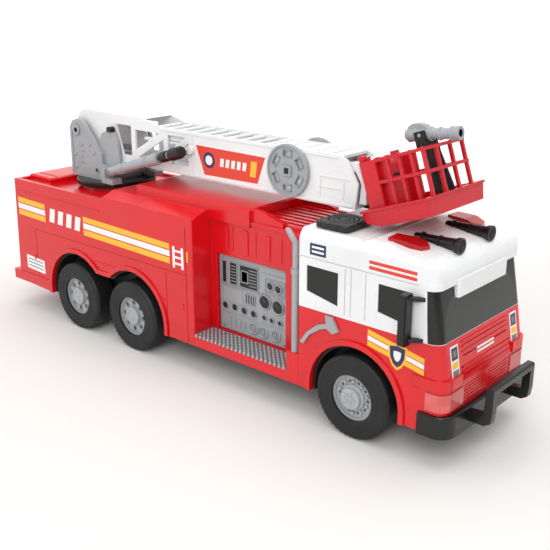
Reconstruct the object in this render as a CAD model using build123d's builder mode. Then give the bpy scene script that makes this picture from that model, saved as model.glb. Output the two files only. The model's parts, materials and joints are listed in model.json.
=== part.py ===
"""Toy aerial ladder fire engine, an assembly of moulded shells, wheels and a swivelling ladder.

+X points to the front of the truck, +Y to its left side and +Z up. The origin lies on the
ground, under the middle of the whole toy. All sizes are in millimetres.
"""

import os
from math import cos, radians, sin

from build123d import *

# Driving sizes of the truck
BODY_HALF = 64.0
BODY_REAR = -279.0
STEP_REAR = -290.0
BOX_FRONT = 3.0
CAB_REAR = 128.0
CAB_FRONT = 266.5
SKIRT_Z = 28.0
BELT_Z = 99.8
WALL = 3.0

# Wheels
TYRE_RADIUS = 35.5
TYRE_WIDTH = 24.0
TYRE_OUTER_Y = 67.0
HUB_RADIUS = 19.6
AXLE_RADIUS = 2.0
BEARING_GAP = 0.08
AXLES = {"rear": -171.7, "middle": -83.9, "front": 185.0}
ARCH_RADIUS = 46.5
FRONT_ARCH_RADIUS = 43.5
ARCH_VALLEY_Z = 68.0
LIP = 4.5

# Roof of the body
DECK_Z = 144.0
RIM_Z = 146.5
HATCH_Z = 150.5
SHOULDER_X = -125.0
SHOULDER_Z = 148.5
CROWN_Z = 154.0
HUMP_REAR = -96.0
HUMP_FRONT = 53.0
HUMP_HALF = 42.0
HUMP_Z = 162.5
CORE_HALF = 39.0
CORE_Z = 151.5
ALCOVE_FLOOR_Z = 37.6
STEP_PLATE_Z = 39.6

# Cab
ROOF_Z = 165.0
PLATFORM_Z = 168.0
GLASS_BASE = (260.2, 100.2)
GLASS_TOP = (252.6, 139.9)
GLASS_THICK = 2.6
CAB_WALL = 4.6
VISOR_HALF = 37.0
VISOR_Z = 130.0

# Turntable and ladder
TURN_X = -179.0
DISC_RADIUS = 41.4
DISC_Z = 147.8
DISC_TOP = 153.0
STEM_RADIUS = 9.0
PIVOT = (-206.6, 201.8)
BOOM_HALF = 19.0
BOOM_WALL = 2.2
BOOM_BASE = 174.0
BOOM_REAR_TOP = 222.5
BOOM_TOP = 216.5
CRANK = (78.9, 197.2)
CRANK_RADIUS = 22.7
PINION_RADIUS = 7.0
FLY_HALF = 16.2
FLY_BASE = 204.5
FLY_TOP = 211.5
FLY_REAR = -95.0
FLY_STROKE = 130.0
RAM_Y = 30.0
RAM_BASE = (-147.0, 166.5)
RAM_TIP = (-40.0, 200.0)

# Basket, in its own tilted frame whose origin is the tray's lower rear edge
BASKET_ORIGIN = (176.5, 0.0, 167.6)
BASKET_PITCH = 19.0
TRAY_LENGTH = 58.5
TRAY_HALF = 38.0
TRAY_HEIGHT = 12.5
RAIL_HALF = 29.0
RAIL_TOP = 51.0
RAIL_MID = 34.0
TIP_HINGE = (164.5, 176.7)
PIN_RADIUS = 1.5

GUARD_POST = [(268, 41), (268, 33), (284, 33), (289, 36), (290, 44), (290, 64.5), (284, 64.5), (283, 42)]

SIDES = {"right": -1, "left": 1}

os.makedirs("parts", exist_ok=True)


def save(name, part):
    part.label = name
    export_step(part, f"parts/{name}.step")


def side_plane(y):
    """Plane whose sketch axes are +X and +Z, standing at y and facing -Y."""
    return Plane(origin=(0, y, 0), x_dir=(1, 0, 0), z_dir=(0, -1, 0))


def between_y(low, high, mode=Mode.ADD):
    """Extrude the pending XZ sketch, drawn on side_plane(high), down to y = low."""
    extrude(amount=high - low, mode=mode)


def block(low, high, mode=Mode.ADD):
    """Box from its lowest to its highest corner."""
    size = [high[i] - low[i] for i in range(3)]
    middle = [(high[i] + low[i]) / 2 for i in range(3)]
    with Locations(tuple(middle)):
        Box(*size, mode=mode)


def rod_y(x, z, radius, low, high, mode=Mode.ADD):
    """Round bar along Y between two y values."""
    with Locations(Location((x, (low + high) / 2, z), (90, 0, 0))):
        Cylinder(radius, high - low, mode=mode)


def rod_z(x, y, radius, low, high, mode=Mode.ADD):
    """Round bar along Z between two heights."""
    with Locations((x, y, (low + high) / 2)):
        Cylinder(radius, high - low, mode=mode)


# ---------------------------------------------------------------- wheels


def tyre(x, side):
    """Hollow moulded tyre with rounded shoulders and tread grooves."""
    outer = side * TYRE_OUTER_Y
    middle = outer - side * TYRE_WIDTH / 2
    with BuildPart() as part:
        with BuildSketch(Plane.XZ.offset(-middle).shift_origin((x, middle, TYRE_RADIUS))):
            Circle(TYRE_RADIUS)
            Circle(HUB_RADIUS, mode=Mode.SUBTRACT)
        extrude(amount=TYRE_WIDTH / 2, both=True)
        rims = part.edges().filter_by(GeomType.CIRCLE).group_by(SortBy.RADIUS)[-1]
        fillet(rims, radius=3.5)
    return part.part


def hub(x, side, domed):
    """Wheel disc with a ring of holes, or with a domed cap on the front axle."""
    face = side * 64.5
    back = side * 45.0
    with BuildPart() as part:
        rod_y(x, TYRE_RADIUS, HUB_RADIUS, min(face, back), max(face, back))
        bowl = side * (64.5 - 1.6)
        rod_y(x, TYRE_RADIUS, HUB_RADIUS - 2.2, min(bowl, face), max(bowl, face), Mode.SUBTRACT)
        cap = side * (68.6 if domed else 66.0)
        rod_y(x, TYRE_RADIUS, 9.0, min(bowl, cap), max(bowl, cap))
        holes = 10 if domed else 8
        hole = 1.3 if domed else 2.2
        depth = side * 60.0
        with Locations(Location((x, (bowl + depth) / 2, TYRE_RADIUS), (90, 0, 0))):
            with PolarLocations(13.6, holes):
                Cylinder(hole, abs(bowl - depth), mode=Mode.SUBTRACT)
        inner = side * 60.0
        rod_y(x, TYRE_RADIUS, AXLE_RADIUS, min(inner, back), max(inner, back), Mode.SUBTRACT)
    return part.part


def axle(x):
    with BuildPart() as part:
        rod_y(x, TYRE_RADIUS, AXLE_RADIUS, -60.0, 60.0)
    return part.part


# ---------------------------------------------------------------- chassis


def arch_sketch(grow):
    """Outline of the double rear arch, grown outwards by a distance."""
    rear, middle = AXLES["rear"], AXLES["middle"]
    with Locations((rear, TYRE_RADIUS), (middle, TYRE_RADIUS)):
        Circle(ARCH_RADIUS + grow)
    top = ARCH_VALLEY_Z + grow
    with Locations(((rear + middle) / 2, top / 2)):
        Rectangle(middle - rear, top)
    with Locations((rear, TYRE_RADIUS / 2), (middle, TYRE_RADIUS / 2)):
        Rectangle(2 * (ARCH_RADIUS + grow), TYRE_RADIUS)


def front_arch_sketch(grow):
    """Outline of the front arch, grown outwards by a distance."""
    with Locations((AXLES["front"], TYRE_RADIUS)):
        Circle(FRONT_ARCH_RADIUS + grow)
    with Locations((AXLES["front"], TYRE_RADIUS / 2)):
        Rectangle(2 * (FRONT_ARCH_RADIUS + grow), TYRE_RADIUS)


def wheel_well(side, sketch, wall_y, grow):
    """Solid under the wheel arch outline, from an inner wall out to the skirt."""
    low, high = sorted((side * wall_y, side * 60.8))
    with BuildPart() as part:
        with BuildSketch(side_plane(high)):
            sketch(grow)
        between_y(low, high)
    return part.part


def chassis_pan():
    """Black under-tray with wheel wells, axle bearings and the battery box."""
    floor_top = SKIRT_Z + 2.6
    with BuildPart() as part:
        block((BODY_REAR + 8, -60.8, SKIRT_Z), (CAB_FRONT - 10, 60.8, floor_top))
        for side in SIDES.values():
            add(wheel_well(side, arch_sketch, 38.0, -0.3))
            add(wheel_well(side, front_arch_sketch, 38.0, -0.3))
        for side in SIDES.values():
            add(wheel_well(side, arch_sketch, 40.4, -2.3), mode=Mode.SUBTRACT)
            add(wheel_well(side, front_arch_sketch, 40.4, -2.3), mode=Mode.SUBTRACT)
        for x in AXLES.values():
            for side in SIDES.values():
                low, high = sorted((side * 32.0, side * 42.4))
                rod_y(x, TYRE_RADIUS, 5.0, low, high)
        for x in AXLES.values():
            rod_y(x, TYRE_RADIUS, AXLE_RADIUS + BEARING_GAP, -61.0, 61.0, Mode.SUBTRACT)
            block((x - 4.0, -32.0, SKIRT_Z - 1), (x + 4.0, 32.0, floor_top + 1), Mode.SUBTRACT)
        block((-300, -62, -30), (300, 62, SKIRT_Z), Mode.SUBTRACT)
        block((10, -29, SKIRT_Z), (76, 29, 49.0))
        block((12, -27, SKIRT_Z - 1), (74, 27, 47.0), Mode.SUBTRACT)
        block((-30, -5, SKIRT_Z - 1), (-15, 5, floor_top + 1), Mode.SUBTRACT)
        for x, y in screw_places():
            rod_z(x, y, 4.0, floor_top, 44.0)
            rod_z(x, y, 1.5, SKIRT_Z - 1, 45.0, Mode.SUBTRACT)
            rod_z(x, y, 3.0, SKIRT_Z - 1, SKIRT_Z + 1.6, Mode.SUBTRACT)
    return part.part


def screw_places():
    """Screws that hold the pan to the shells, outside the wheels."""
    return [(x, side * 24.0) for x in (-258.0, -20.0, 108.0, 246.0) for side in (-1, 1)]


def body_screws():
    with BuildPart() as part:
        for x, y in screw_places():
            rod_z(x, y, 2.8, SKIRT_Z, SKIRT_Z + 1.6)
            rod_z(x, y, 1.5, SKIRT_Z + 1.6, 43.0)
    return part.part


def battery_door():
    with BuildPart() as part:
        block((12.2, -26.8, SKIRT_Z), (73.8, 26.8, SKIRT_Z + 2.0))
        block((30, -4, SKIRT_Z + 2.0), (34, 4, SKIRT_Z + 3.5))
    return part.part


def battery_cells():
    """Three AA cells side by side."""
    with BuildPart() as part:
        for y in (-15.5, 0.0, 15.5):
            with Locations(Location((42.5, y, 39.0), (0, 90, 0))):
                Cylinder(7.1, 48.5)
            with Locations(Location((67.6, y, 39.0), (0, 90, 0))):
                Cylinder(2.7, 1.7)
    return part.part


def circuit_board():
    """Sound and light board, with its driver chip, on two posts above the battery box."""
    with BuildPart() as part:
        block((16, -20, 56.0), (70, 20, 57.6))
        block((34, -8, 57.6), (50, 8, 60.0))
        for x in (20.0, 66.0):
            rod_z(x, 0, 2.5, 49.0, 56.0)
    return part.part


def speaker():
    """Round speaker that fires through the floor, in front of the battery box."""
    with BuildPart() as part:
        rod_z(106, 0, 16.0, SKIRT_Z + 2.6, SKIRT_Z + 5.6)
        with BuildSketch(Plane.XY.offset(SKIRT_Z + 5.6)):
            with Locations((106, 0)):
                Circle(14.0)
        extrude(amount=4.0, taper=30)
        rod_z(106, 0, 8.0, SKIRT_Z + 9.6, SKIRT_Z + 15.0)
    return part.part


def power_switch():
    """Slide knob in its slot in the pan."""
    with BuildPart() as part:
        block((-28.0, -4.5, SKIRT_Z - 0.8), (-22.0, 4.5, SKIRT_Z + 2.2))
        for x in (-26.9, -25.0, -23.1):
            block((x - 0.35, -4.5, SKIRT_Z - 0.8), (x + 0.35, 4.5, SKIRT_Z - 0.4), Mode.SUBTRACT)
    return part.part


# ---------------------------------------------------------------- rear body


def body_outer():
    """Closed outer volume of the red body, from the rear step to the back of the cab."""
    with BuildPart() as part:
        with BuildSketch(side_plane(BODY_HALF)):
            with BuildLine():
                Polyline(
                    (BODY_REAR, SKIRT_Z + 2),
                    (BODY_REAR, 45),
                    (BODY_REAR + 4.5, RIM_Z),
                    (SHOULDER_X - 2, RIM_Z),
                    (SHOULDER_X, SHOULDER_Z),
                    (BOX_FRONT, SHOULDER_Z),
                    (BOX_FRONT, SKIRT_Z),
                    (-219, SKIRT_Z),
                    close=True,
                )
            make_face()
        between_y(-BODY_HALF, BODY_HALF)
        corners = part.edges().filter_by(Axis.Z).group_by(Axis.X)[-1]
        fillet(corners, radius=1.5)
        with BuildSketch(Plane.YZ.offset(SHOULDER_X)):
            with BuildLine():
                Polyline(
                    (-BODY_HALF + 1.5, SHOULDER_Z - 1),
                    (-BODY_HALF + 1.5, SHOULDER_Z),
                    (-47, CROWN_Z),
                    (47, CROWN_Z),
                    (BODY_HALF - 1.5, SHOULDER_Z),
                    (BODY_HALF - 1.5, SHOULDER_Z - 1),
                    close=True,
                )
            make_face()
        extrude(amount=BOX_FRONT - SHOULDER_X)
        block((BOX_FRONT - 1, -CORE_HALF, SKIRT_Z), (CAB_REAR, CORE_HALF, CORE_Z - 4))
        block((BOX_FRONT - 1, -CORE_HALF - 1.5, CORE_Z - 4), (CAB_REAR, CORE_HALF + 1.5, CORE_Z))
        block((BOX_FRONT - 1, -BODY_HALF, SKIRT_Z), (CAB_REAR, BODY_HALF, ALCOVE_FLOOR_Z))
        block((STEP_REAR, -BODY_HALF - 1, 30), (-222, BODY_HALF + 1, 41))
    return part.part


def body_cavity():
    """Closed inner volume that leaves the moulding's wall."""
    inner = BODY_HALF - WALL
    with BuildPart() as part:
        block((BODY_REAR + 4.5 + WALL, -inner, SKIRT_Z - 2), (SHOULDER_X, inner, DECK_Z - WALL))
        block((SHOULDER_X - 1, -inner, SKIRT_Z - 2), (BOX_FRONT - WALL, inner, SHOULDER_Z - WALL))
        block((BOX_FRONT - 4, -31, SKIRT_Z - 2), (CAB_REAR - WALL, 31, CORE_Z - WALL))
        block((BOX_FRONT - 4, -inner, SKIRT_Z - 2), (CAB_REAR - WALL, inner, ALCOVE_FLOOR_Z - 2.4))
        block((HUMP_REAR + WALL, -31, 140), (HUMP_FRONT - WALL, 31, HUMP_Z - WALL))
    return part.part


def roof_hump():
    """Raised spine under the ladder, with chamfered upper edges."""
    with BuildPart() as part:
        block((HUMP_REAR, -HUMP_HALF, 146), (HUMP_FRONT, HUMP_HALF, HUMP_Z))
        top = part.faces().sort_by(Axis.Z)[-1]
        chamfer(top.edges(), length=1.5)
    return part.part


def rear_hatch():
    """Raised hatch at the back of the deck, with chamfered edges."""
    with BuildPart() as part:
        block((-266, -50, DECK_Z - 1), (-227, 50, HATCH_Z))
        chamfer(part.faces().sort_by(Axis.Z)[-1].edges(), length=1.5)
    return part.part


def ladder_rest():
    """Two sloping cheeks in front of the hump that guide the lowered ladder home."""
    with BuildPart() as part:
        for side in SIDES.values():
            low, high = sorted((side * 33.0, side * 38.8))
            with BuildSketch(side_plane(high)):
                with BuildLine():
                    Polyline(
                        (HUMP_FRONT - 1, CORE_Z - 1),
                        (HUMP_FRONT - 1, HUMP_Z - 1),
                        (HUMP_FRONT + 10, HUMP_Z - 1),
                        (HUMP_FRONT + 36, CORE_Z + 4),
                        (HUMP_FRONT + 36, CORE_Z - 1),
                        close=True,
                    )
                make_face()
            between_y(low, high)
    return part.part


def body_shell():
    """Red rear body: side boxes, alcoves for the pump panels, arches, deck, hump and ribs."""
    with BuildPart() as part:
        add(body_outer())
        add(roof_hump())
        add(body_cavity(), mode=Mode.SUBTRACT)
        block((BODY_REAR + 9, -59, DECK_Z), (SHOULDER_X - 6, 59, RIM_Z + 1), Mode.SUBTRACT)
        add(rear_hatch())
        rod_z(TURN_X, 0, 36.0, DECK_Z - WALL, DISC_Z - 0.5)
        rod_z(TURN_X, 0, STEM_RADIUS + BEARING_GAP, 130, 150, Mode.SUBTRACT)
        add(ladder_rest())
        rib_count = 9
        for index in range(rib_count):
            y = (index - (rib_count - 1) / 2) * 8.4
            block((HUMP_FRONT + 2, y - 2.0, CORE_Z - 1), (CAB_REAR - 1, y + 2.0, CORE_Z + 3))
        for side in SIDES.values():
            low, high = sorted((side * 50.0, side * (BODY_HALF + 1.6)))
            with BuildSketch(side_plane(high)):
                arch_sketch(LIP)
            between_y(low, high)
        with BuildSketch(side_plane(80)):
            arch_sketch(0)
        between_y(-80, 80, Mode.SUBTRACT)
        block((-300, -80, -30), (BOX_FRONT, 80, SKIRT_Z), Mode.SUBTRACT)
        block((-226, -60.9, SKIRT_Z), (-30, 60.9, 98), Mode.SUBTRACT)
        block((100, -60.9, SKIRT_Z - 1), (130, 60.9, SKIRT_Z + 2.8), Mode.SUBTRACT)
        for side in SIDES.values():
            pocket = sorted((side * 33.0, side * 50.0))
            block((9.5, pocket[0], 40.4), (92.6, pocket[1], 114.5), Mode.SUBTRACT)
            post = sorted((side * 56.0, side * BODY_HALF))
            block((115, post[0], ALCOVE_FLOOR_Z - 1), (CAB_REAR, post[1], 56.0))
            for x in (30.0, 58.0, 88.0, 107.0):
                groove = sorted((side * (CORE_HALF - 0.5), side * (CORE_HALF + 0.5)))
                block((x, groove[0], 120), (x + 1.0, groove[1], 142), Mode.SUBTRACT)
            panel_lines(side)
    return part.part


def panel_lines(side):
    """Shallow grooves that outline the locker doors on one side."""
    depth = sorted((side * (BODY_HALF - 0.6), side * (BODY_HALF + 0.5)))
    for x, low, high in ((-33.6, 30, 92), (-6.0, 30, 140), (-243.0, 43, 95)):
        block((x, depth[0], low), (x + 0.9, depth[1], high), Mode.SUBTRACT)
    block((-243.0, depth[0], 94.6), (-6.0, depth[1], 95.5), Mode.SUBTRACT)


def pump_panel(side):
    """Grey instrument panel set into the alcove wall, with raised dials."""
    face, back = side * 35.4, side * 33.0
    with BuildPart() as part:
        block((9.7, min(face, back), 40.6), (92.4, max(face, back), 114.3))
        dials = [(16.6, 64.6, 2.4), (28.6, 65.0, 2.4), (40.4, 64.4, 2.4), (52.0, 64.2, 2.4)]
        dials += [(65.8, 79.0, 4.6), (81.2, 77.6, 4.6), (72.3, 95.4, 2.8), (81.6, 94.6, 2.8)]
        dials += [(65.0, 64.0, 1.8), (73.8, 63.4, 1.8), (83.4, 63.2, 1.8)]
        for x, z, radius in dials:
            rim = face + side * 0.9
            rod_y(x, z, radius, min(face, rim), max(face, rim))
    return part.part


def side_step(side):
    """Bright tread plate on the alcove's floor."""
    low, high = sorted((side * (CORE_HALF + 0.1), side * BODY_HALF))
    with BuildPart() as part:
        block((BOX_FRONT + 0.2, low, ALCOVE_FLOOR_Z), (CAB_REAR - 0.2, high, STEP_PLATE_Z))
        post = sorted((side * 55.8, side * (BODY_HALF + 1)))
        block((114.8, post[0], 30), (CAB_REAR + 1, post[1], 60), Mode.SUBTRACT)
    return part.part


def exhaust_pipe(side):
    """Stack beside the cab: a thick lower post and a thin upper pipe that curls outwards."""
    y = side * 60.5
    with BuildPart() as part:
        rod_z(121.5, y, 3.1, 56.0, 126.0)
        rod_z(121.5, y, 3.8, 124.0, 129.0)
        with BuildLine():
            Polyline((121.5, y, 128.0), (121.5, y, 150.0))
            RadiusArc((121.5, y, 150.0), (113.5, y, 160.0), 10.5)
        with BuildSketch(Plane.XY.offset(128.0)):
            with Locations((121.5, y)):
                Circle(2.7)
        sweep()
    return part.part


# ---------------------------------------------------------------- cab


def cab_lower_volume(inset):
    """Lower cab with a face that leans back above the headlights."""
    half = BODY_HALF - inset
    with BuildPart() as part:
        with BuildSketch(side_plane(half)):
            with BuildLine():
                Polyline(
                    (CAB_REAR + 0.2 + inset, SKIRT_Z - abs(inset)),
                    (CAB_REAR + 0.2 + inset, BELT_Z + abs(inset)),
                    (CAB_FRONT - 6.2 - inset, BELT_Z + abs(inset)),
                    (CAB_FRONT - inset, 64),
                    (CAB_FRONT - inset, SKIRT_Z - abs(inset)),
                    close=True,
                )
            make_face()
        between_y(-half, half)
        corners = [edge for edge in part.edges() if is_front_corner(edge, half)]
        fillet(corners, radius=9 - inset)
    return part.part


def is_front_corner(edge, half):
    """True for the upright edges at the cab's front corners."""
    middle = edge.center()
    upright = abs(edge.position_at(0).Z - edge.position_at(1).Z) > 5
    return upright and middle.X > CAB_FRONT - 15 and abs(abs(middle.Y) - half) < 0.01


def headlight_box(side, inset):
    """Region that a headlight lens takes at one front corner."""
    low, high = sorted((side * (37.0 + inset), side * (BODY_HALF + 4)))
    with BuildPart() as part:
        block((250.5 + inset, low, 47.5 + inset), (CAB_FRONT + 4, high, 62.0 - inset))
    return part.part


def cab_lower():
    """Red lower cab: fascia with grille slots, front arches and headlight pockets."""
    with BuildPart() as part:
        add(cab_lower_volume(0))
        add(cab_lower_volume(WALL), mode=Mode.SUBTRACT)
        for side in SIDES.values():
            low, high = sorted((side * 50.0, side * (BODY_HALF + 1.8)))
            with BuildSketch(side_plane(high)):
                front_arch_sketch(LIP)
            between_y(low, high)
        with BuildSketch(side_plane(80)):
            front_arch_sketch(0)
        between_y(-80, 80, Mode.SUBTRACT)
        block((130, -80, -30), (240, 80, SKIRT_Z), Mode.SUBTRACT)
        block((134, -60.9, SKIRT_Z), (236, 60.9, 92), Mode.SUBTRACT)
        block((126, -60.9, SKIRT_Z - 1), (134, 60.9, SKIRT_Z + 2.8), Mode.SUBTRACT)
        for side in SIDES.values():
            add(corner_pad(side))
            low, high = sorted((side * 37.0, side * (BODY_HALF + 4)))
            lens = Part() + (headlight_box(side, 0) - cab_lower_volume(1.8))
            add(lens, mode=Mode.SUBTRACT)
        for index, z in enumerate((92.0, 84.0, 76.0)):
            slot = 30.0 + 4.0 * index
            block((CAB_FRONT - 6.5 + 1.2 * index, -slot, z), (CAB_FRONT + 1, slot, z + 1.1), Mode.SUBTRACT)
        for index in range(6):
            z = 48.5 + 2.3 * index
            block((CAB_FRONT - 0.7, -31, z), (CAB_FRONT + 1, -4, z + 1.0), Mode.SUBTRACT)
            block((CAB_FRONT - 0.7, 4, z), (CAB_FRONT + 1, 31, z + 1.0), Mode.SUBTRACT)
    return part.part


def corner_pad(side):
    """Raised pad above each headlight that wraps the front corner."""
    low, high = sorted((side * 40.0, side * (BODY_HALF + 4)))
    with BuildPart() as part:
        with BuildSketch(Plane.XY.offset(64.0)):
            with Locations((240, 0)):
                Rectangle(2 * (CAB_FRONT + 0.9 - 240), 2 * (BODY_HALF + 1.0))
            fillet([v for v in vertices_of_sketch() if v.X > 250], radius=10)
        extrude(amount=9.0)
        block((238, low, 60), (CAB_FRONT + 4, high, 80), Mode.INTERSECT)
        add(cab_lower_volume(0.8), mode=Mode.SUBTRACT)
    return part.part


def vertices_of_sketch():
    return BuildSketch._get_context().vertices()


def headlight(side):
    """Clear lens with a shallow inner step, let into the front corner."""
    with BuildPart() as part:
        add(headlight_box(side, 0.15))
        add(cab_lower_volume(-0.9), mode=Mode.INTERSECT)
        add(cab_lower_volume(1.8), mode=Mode.SUBTRACT)
    return part.part


def cab_section(inset):
    """Cross-section of the upper cab: upright sides, small corner radius, nearly flat roof."""
    half = BODY_HALF - inset
    roof = PLATFORM_Z + 0.6 - inset
    with BuildLine() as line:
        Polyline((-half, BELT_Z - 5), (-half, roof - 12))
        ThreePointArc((-half, roof - 12), (-half + 3.4, roof - 5.4), (-half + 12, roof - 2.4))
        ThreePointArc((-half + 12, roof - 2.4), (0, roof), (half - 12, roof - 2.4))
        ThreePointArc((half - 12, roof - 2.4), (half - 3.4, roof - 5.4), (half, roof - 12))
        Polyline((half, roof - 12), (half, BELT_Z - 5), (-half, BELT_Z - 5))
    make_face(line.edges())


def cab_roof_line(inset):
    """Side outline of the upper cab, from the rear wall over the roof to the windshield."""
    rear = CAB_REAR + 0.2 + inset
    glass_x, glass_z = GLASS_BASE
    top_x, top_z = GLASS_TOP
    drop = inset
    with BuildLine() as line:
        Polyline(
            (rear, BELT_Z - inset),
            (rear, ROOF_Z - drop),
            (183, ROOF_Z - drop),
            (186, ROOF_Z - 1.5 - drop),
            (196, PLATFORM_Z - drop),
            (243 - inset, 160.5 - drop),
        )
        ThreePointArc(
            (243 - inset, 160.5 - drop), (251.5 - inset, 155.2 - drop), (255.0 - inset, 146.0 - drop)
        )
        Polyline(
            (255.0 - inset, 146.0 - drop),
            (top_x + 2.6 - inset, top_z - inset),
            (top_x - inset, top_z - inset),
            (glass_x - inset, glass_z),
            (glass_x - inset, BELT_Z - inset),
            (rear, BELT_Z - inset),
        )
    make_face(line.edges())


def plan_prism(front, half, radius, low, high, lean=0.0):
    """Prism with rounded front corners; its front retreats by the lean as it rises."""
    with BuildPart() as part:
        with BuildSketch(Plane.XY.offset(low)):
            with Locations((front / 2, 0)):
                Rectangle(front, 2 * half)
            fillet([v for v in vertices_of_sketch() if v.X > 200], radius=radius)
        rise = high - low
        extrude(amount=Vector(lean, 0, rise).length, dir=(-lean, 0, rise))
    return part.part


def glass_front(z):
    """X of the windshield's outer face at a height."""
    slope = (GLASS_TOP[0] - GLASS_BASE[0]) / (GLASS_TOP[1] - GLASS_BASE[1])
    return GLASS_BASE[0] + slope * (z - GLASS_BASE[1])


def glass_prism(inset, low, high):
    """Volume behind the leaning face of the windshield, moved inwards by an inset."""
    lean = glass_front(low) - glass_front(high)
    return plan_prism(glass_front(low) - inset, BODY_HALF - inset, 9 - inset, low, high, lean)


def cab_plan(inset):
    """Space within the upper cab's rounded front corners, below and above the header."""
    with BuildPart() as part:
        add(glass_prism(inset, BELT_Z - 10, GLASS_TOP[1]))
        add(plan_prism(255.2 - inset, BODY_HALF - inset, 9 - inset, GLASS_TOP[1] - inset, 175))
    return part.part


def cab_upper_volume(inset):
    """Upper cab as the common volume of its cross-section, side outline and plan."""
    with BuildPart() as part:
        with BuildSketch(side_plane(BODY_HALF - inset)):
            cab_roof_line(inset)
        between_y(-BODY_HALF + inset, BODY_HALF - inset)
        with BuildSketch(Plane.YZ.offset(CAB_REAR - 5)):
            cab_section(inset)
        extrude(amount=160, mode=Mode.INTERSECT)
        add(cab_plan(inset), mode=Mode.INTERSECT)
    return part.part


def window_outlines():
    """Side window corners, rear and front, as XZ points."""
    rear = [(136, 136), (167.2, 135.6), (167.2, 108.2), (136, 114.4)]
    front = [(205, 136), (235, 135.6), (235, 108.6), (205, 113.6)]
    return rear, front


def window_cut(side, depth, shrink=0.0):
    """Prisms of both windows on one side, reaching inwards by a depth."""
    outer = side * BODY_HALF
    inner = side * (BODY_HALF - depth)
    with BuildPart() as part:
        for points in window_outlines():
            with BuildSketch(side_plane(max(outer, inner))):
                with BuildLine():
                    Polyline(*points, close=True)
                make_face()
                offset(amount=-shrink, kind=Kind.INTERSECTION)
            between_y(min(outer, inner), max(outer, inner))
    return part.part


def visor():
    """White peak over the middle of the windshield."""
    with BuildPart() as part:
        block((248.5, -VISOR_HALF, VISOR_Z), (257.6, VISOR_HALF, GLASS_TOP[1] + 4))
        front = part.faces().sort_by(Axis.X)[-1]
        fillet(front.edges().filter_by(Axis.Z), radius=2)
    return part.part


def cab_upper():
    """White upper cab: hollow shell with window openings, door grooves and visor."""
    with BuildPart() as part:
        add(cab_upper_volume(0))
        add(cab_upper_volume(CAB_WALL), mode=Mode.SUBTRACT)
        add(windshield(), mode=Mode.SUBTRACT)
        add(visor())
        for side in SIDES.values():
            add(window_cut(side, 5.0), mode=Mode.SUBTRACT)
            low, high = sorted((side * (BODY_HALF - 0.6), side * (BODY_HALF + 1)))
            for x in (173.6, 179.3, 193.0):
                block((x, low, 103), (x + 0.8, high, 141), Mode.SUBTRACT)
            block((CAB_REAR + 1, low, 142.2), (240, high, 143.0), Mode.SUBTRACT)
        block((140.0, -51.5, 155), (164.0, -24.0, 172), Mode.SUBTRACT)
    return part.part


def windshield(gap=0.0):
    """Wrap-round dark screen that leans back, notched under the visor."""
    low = GLASS_BASE[1] + gap
    high = GLASS_TOP[1] - gap
    notch = VISOR_HALF + gap
    with BuildPart() as part:
        add(glass_prism(0, low, high))
        add(glass_prism(GLASS_THICK, low - 5, high + 5), mode=Mode.SUBTRACT)
        with BuildSketch(side_plane(80)):
            with BuildLine():
                Polyline((249.7, 100), (246.2, 145), (280, 145), (280, 100), close=True)
            make_face()
        between_y(-80, 80, Mode.INTERSECT)
        block((240, -notch, VISOR_Z - gap), (270, notch, 150), Mode.SUBTRACT)
    return part.part


def side_windows():
    """Four dark panes, set a little behind the cab's skin."""
    with BuildPart() as part:
        for side in SIDES.values():
            add(window_cut(side, WALL, shrink=0.05))
            add(window_cut(side, 0.7), mode=Mode.SUBTRACT)
    return part.part


def bumper():
    """Black wrap-round bumper with two guard posts and a bar across them."""
    with BuildPart() as part:
        with BuildSketch(Plane.XY.offset(27.0)):
            with Locations((210, 0)):
                Rectangle(2 * (CAB_FRONT + 5 - 210), 2 * (BODY_HALF + 2.6))
            fillet([v for v in vertices_of_sketch() if v.X > 250], radius=14)
        extrude(amount=18.0)
        top = part.faces().sort_by(Axis.Z)[-1]
        fillet(top.edges().filter_by(GeomType.LINE) + top.edges().filter_by(GeomType.CIRCLE), 1.5)
        block((245.5, -90, 20), (290, 90, 60), Mode.INTERSECT)
        add(cab_lower_volume(-0.05), mode=Mode.SUBTRACT)
        block((200, -58, 20), (CAB_FRONT - 4, 58, 60), Mode.SUBTRACT)
        for side in SIDES.values():
            low, high = sorted((side * 27.0, side * 33.5))
            with BuildSketch(side_plane(high)):
                Polygon(*GUARD_POST, align=None)
            between_y(low, high)
        block((284, -33.5, 58), (290, 33.5, 64.5))
        fillet(part.edges().filter_by(Axis.Y).group_by(Axis.X)[-1], radius=2.0)
    return part.part


def mirror(side):
    """Tall door mirror on two arms."""
    low, high = sorted((side * 66.5, side * 77.0))
    with BuildPart() as part:
        block((231.5, low, 97), (237.0, high, 137))
        fillet(part.edges().filter_by(Axis.X), radius=2.5)
        arm = sorted((side * BODY_HALF, side * 71.0))
        for z in (101.0, 133.0):
            with BuildSketch(Plane.XY.offset(z - 1.5)):
                with BuildLine():
                    Polyline(
                        (232.5, side * 69.0),
                        (236.5, side * 71.5),
                        (246.0, side * (BODY_HALF + 0.02)),
                        (240.5, side * (BODY_HALF + 0.02)),
                        close=True,
                    )
                make_face()
            extrude(amount=3.0)
    return part.part


def beacon(side):
    """Wedge-shaped roof lamp on the platform's corner."""
    points = [(202, 36.5), (226, 33.5), (232, 39), (230, 47), (222, 51), (203, 51)]
    with BuildPart() as part:
        with BuildSketch(Plane.XY.offset(155)):
            with BuildLine():
                Polyline(*[(x, side * y) for x, y in points], close=True)
            make_face()
        extrude(amount=15)
        with BuildSketch(side_plane(60)):
            with BuildLine():
                Polyline((195, 150), (195, 169.0), (219, 168.4), (240, 163), (240, 150), close=True)
            make_face()
        between_y(-60, 60, Mode.INTERSECT)
        add(cab_upper_volume(0), mode=Mode.SUBTRACT)
    return part.part


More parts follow.
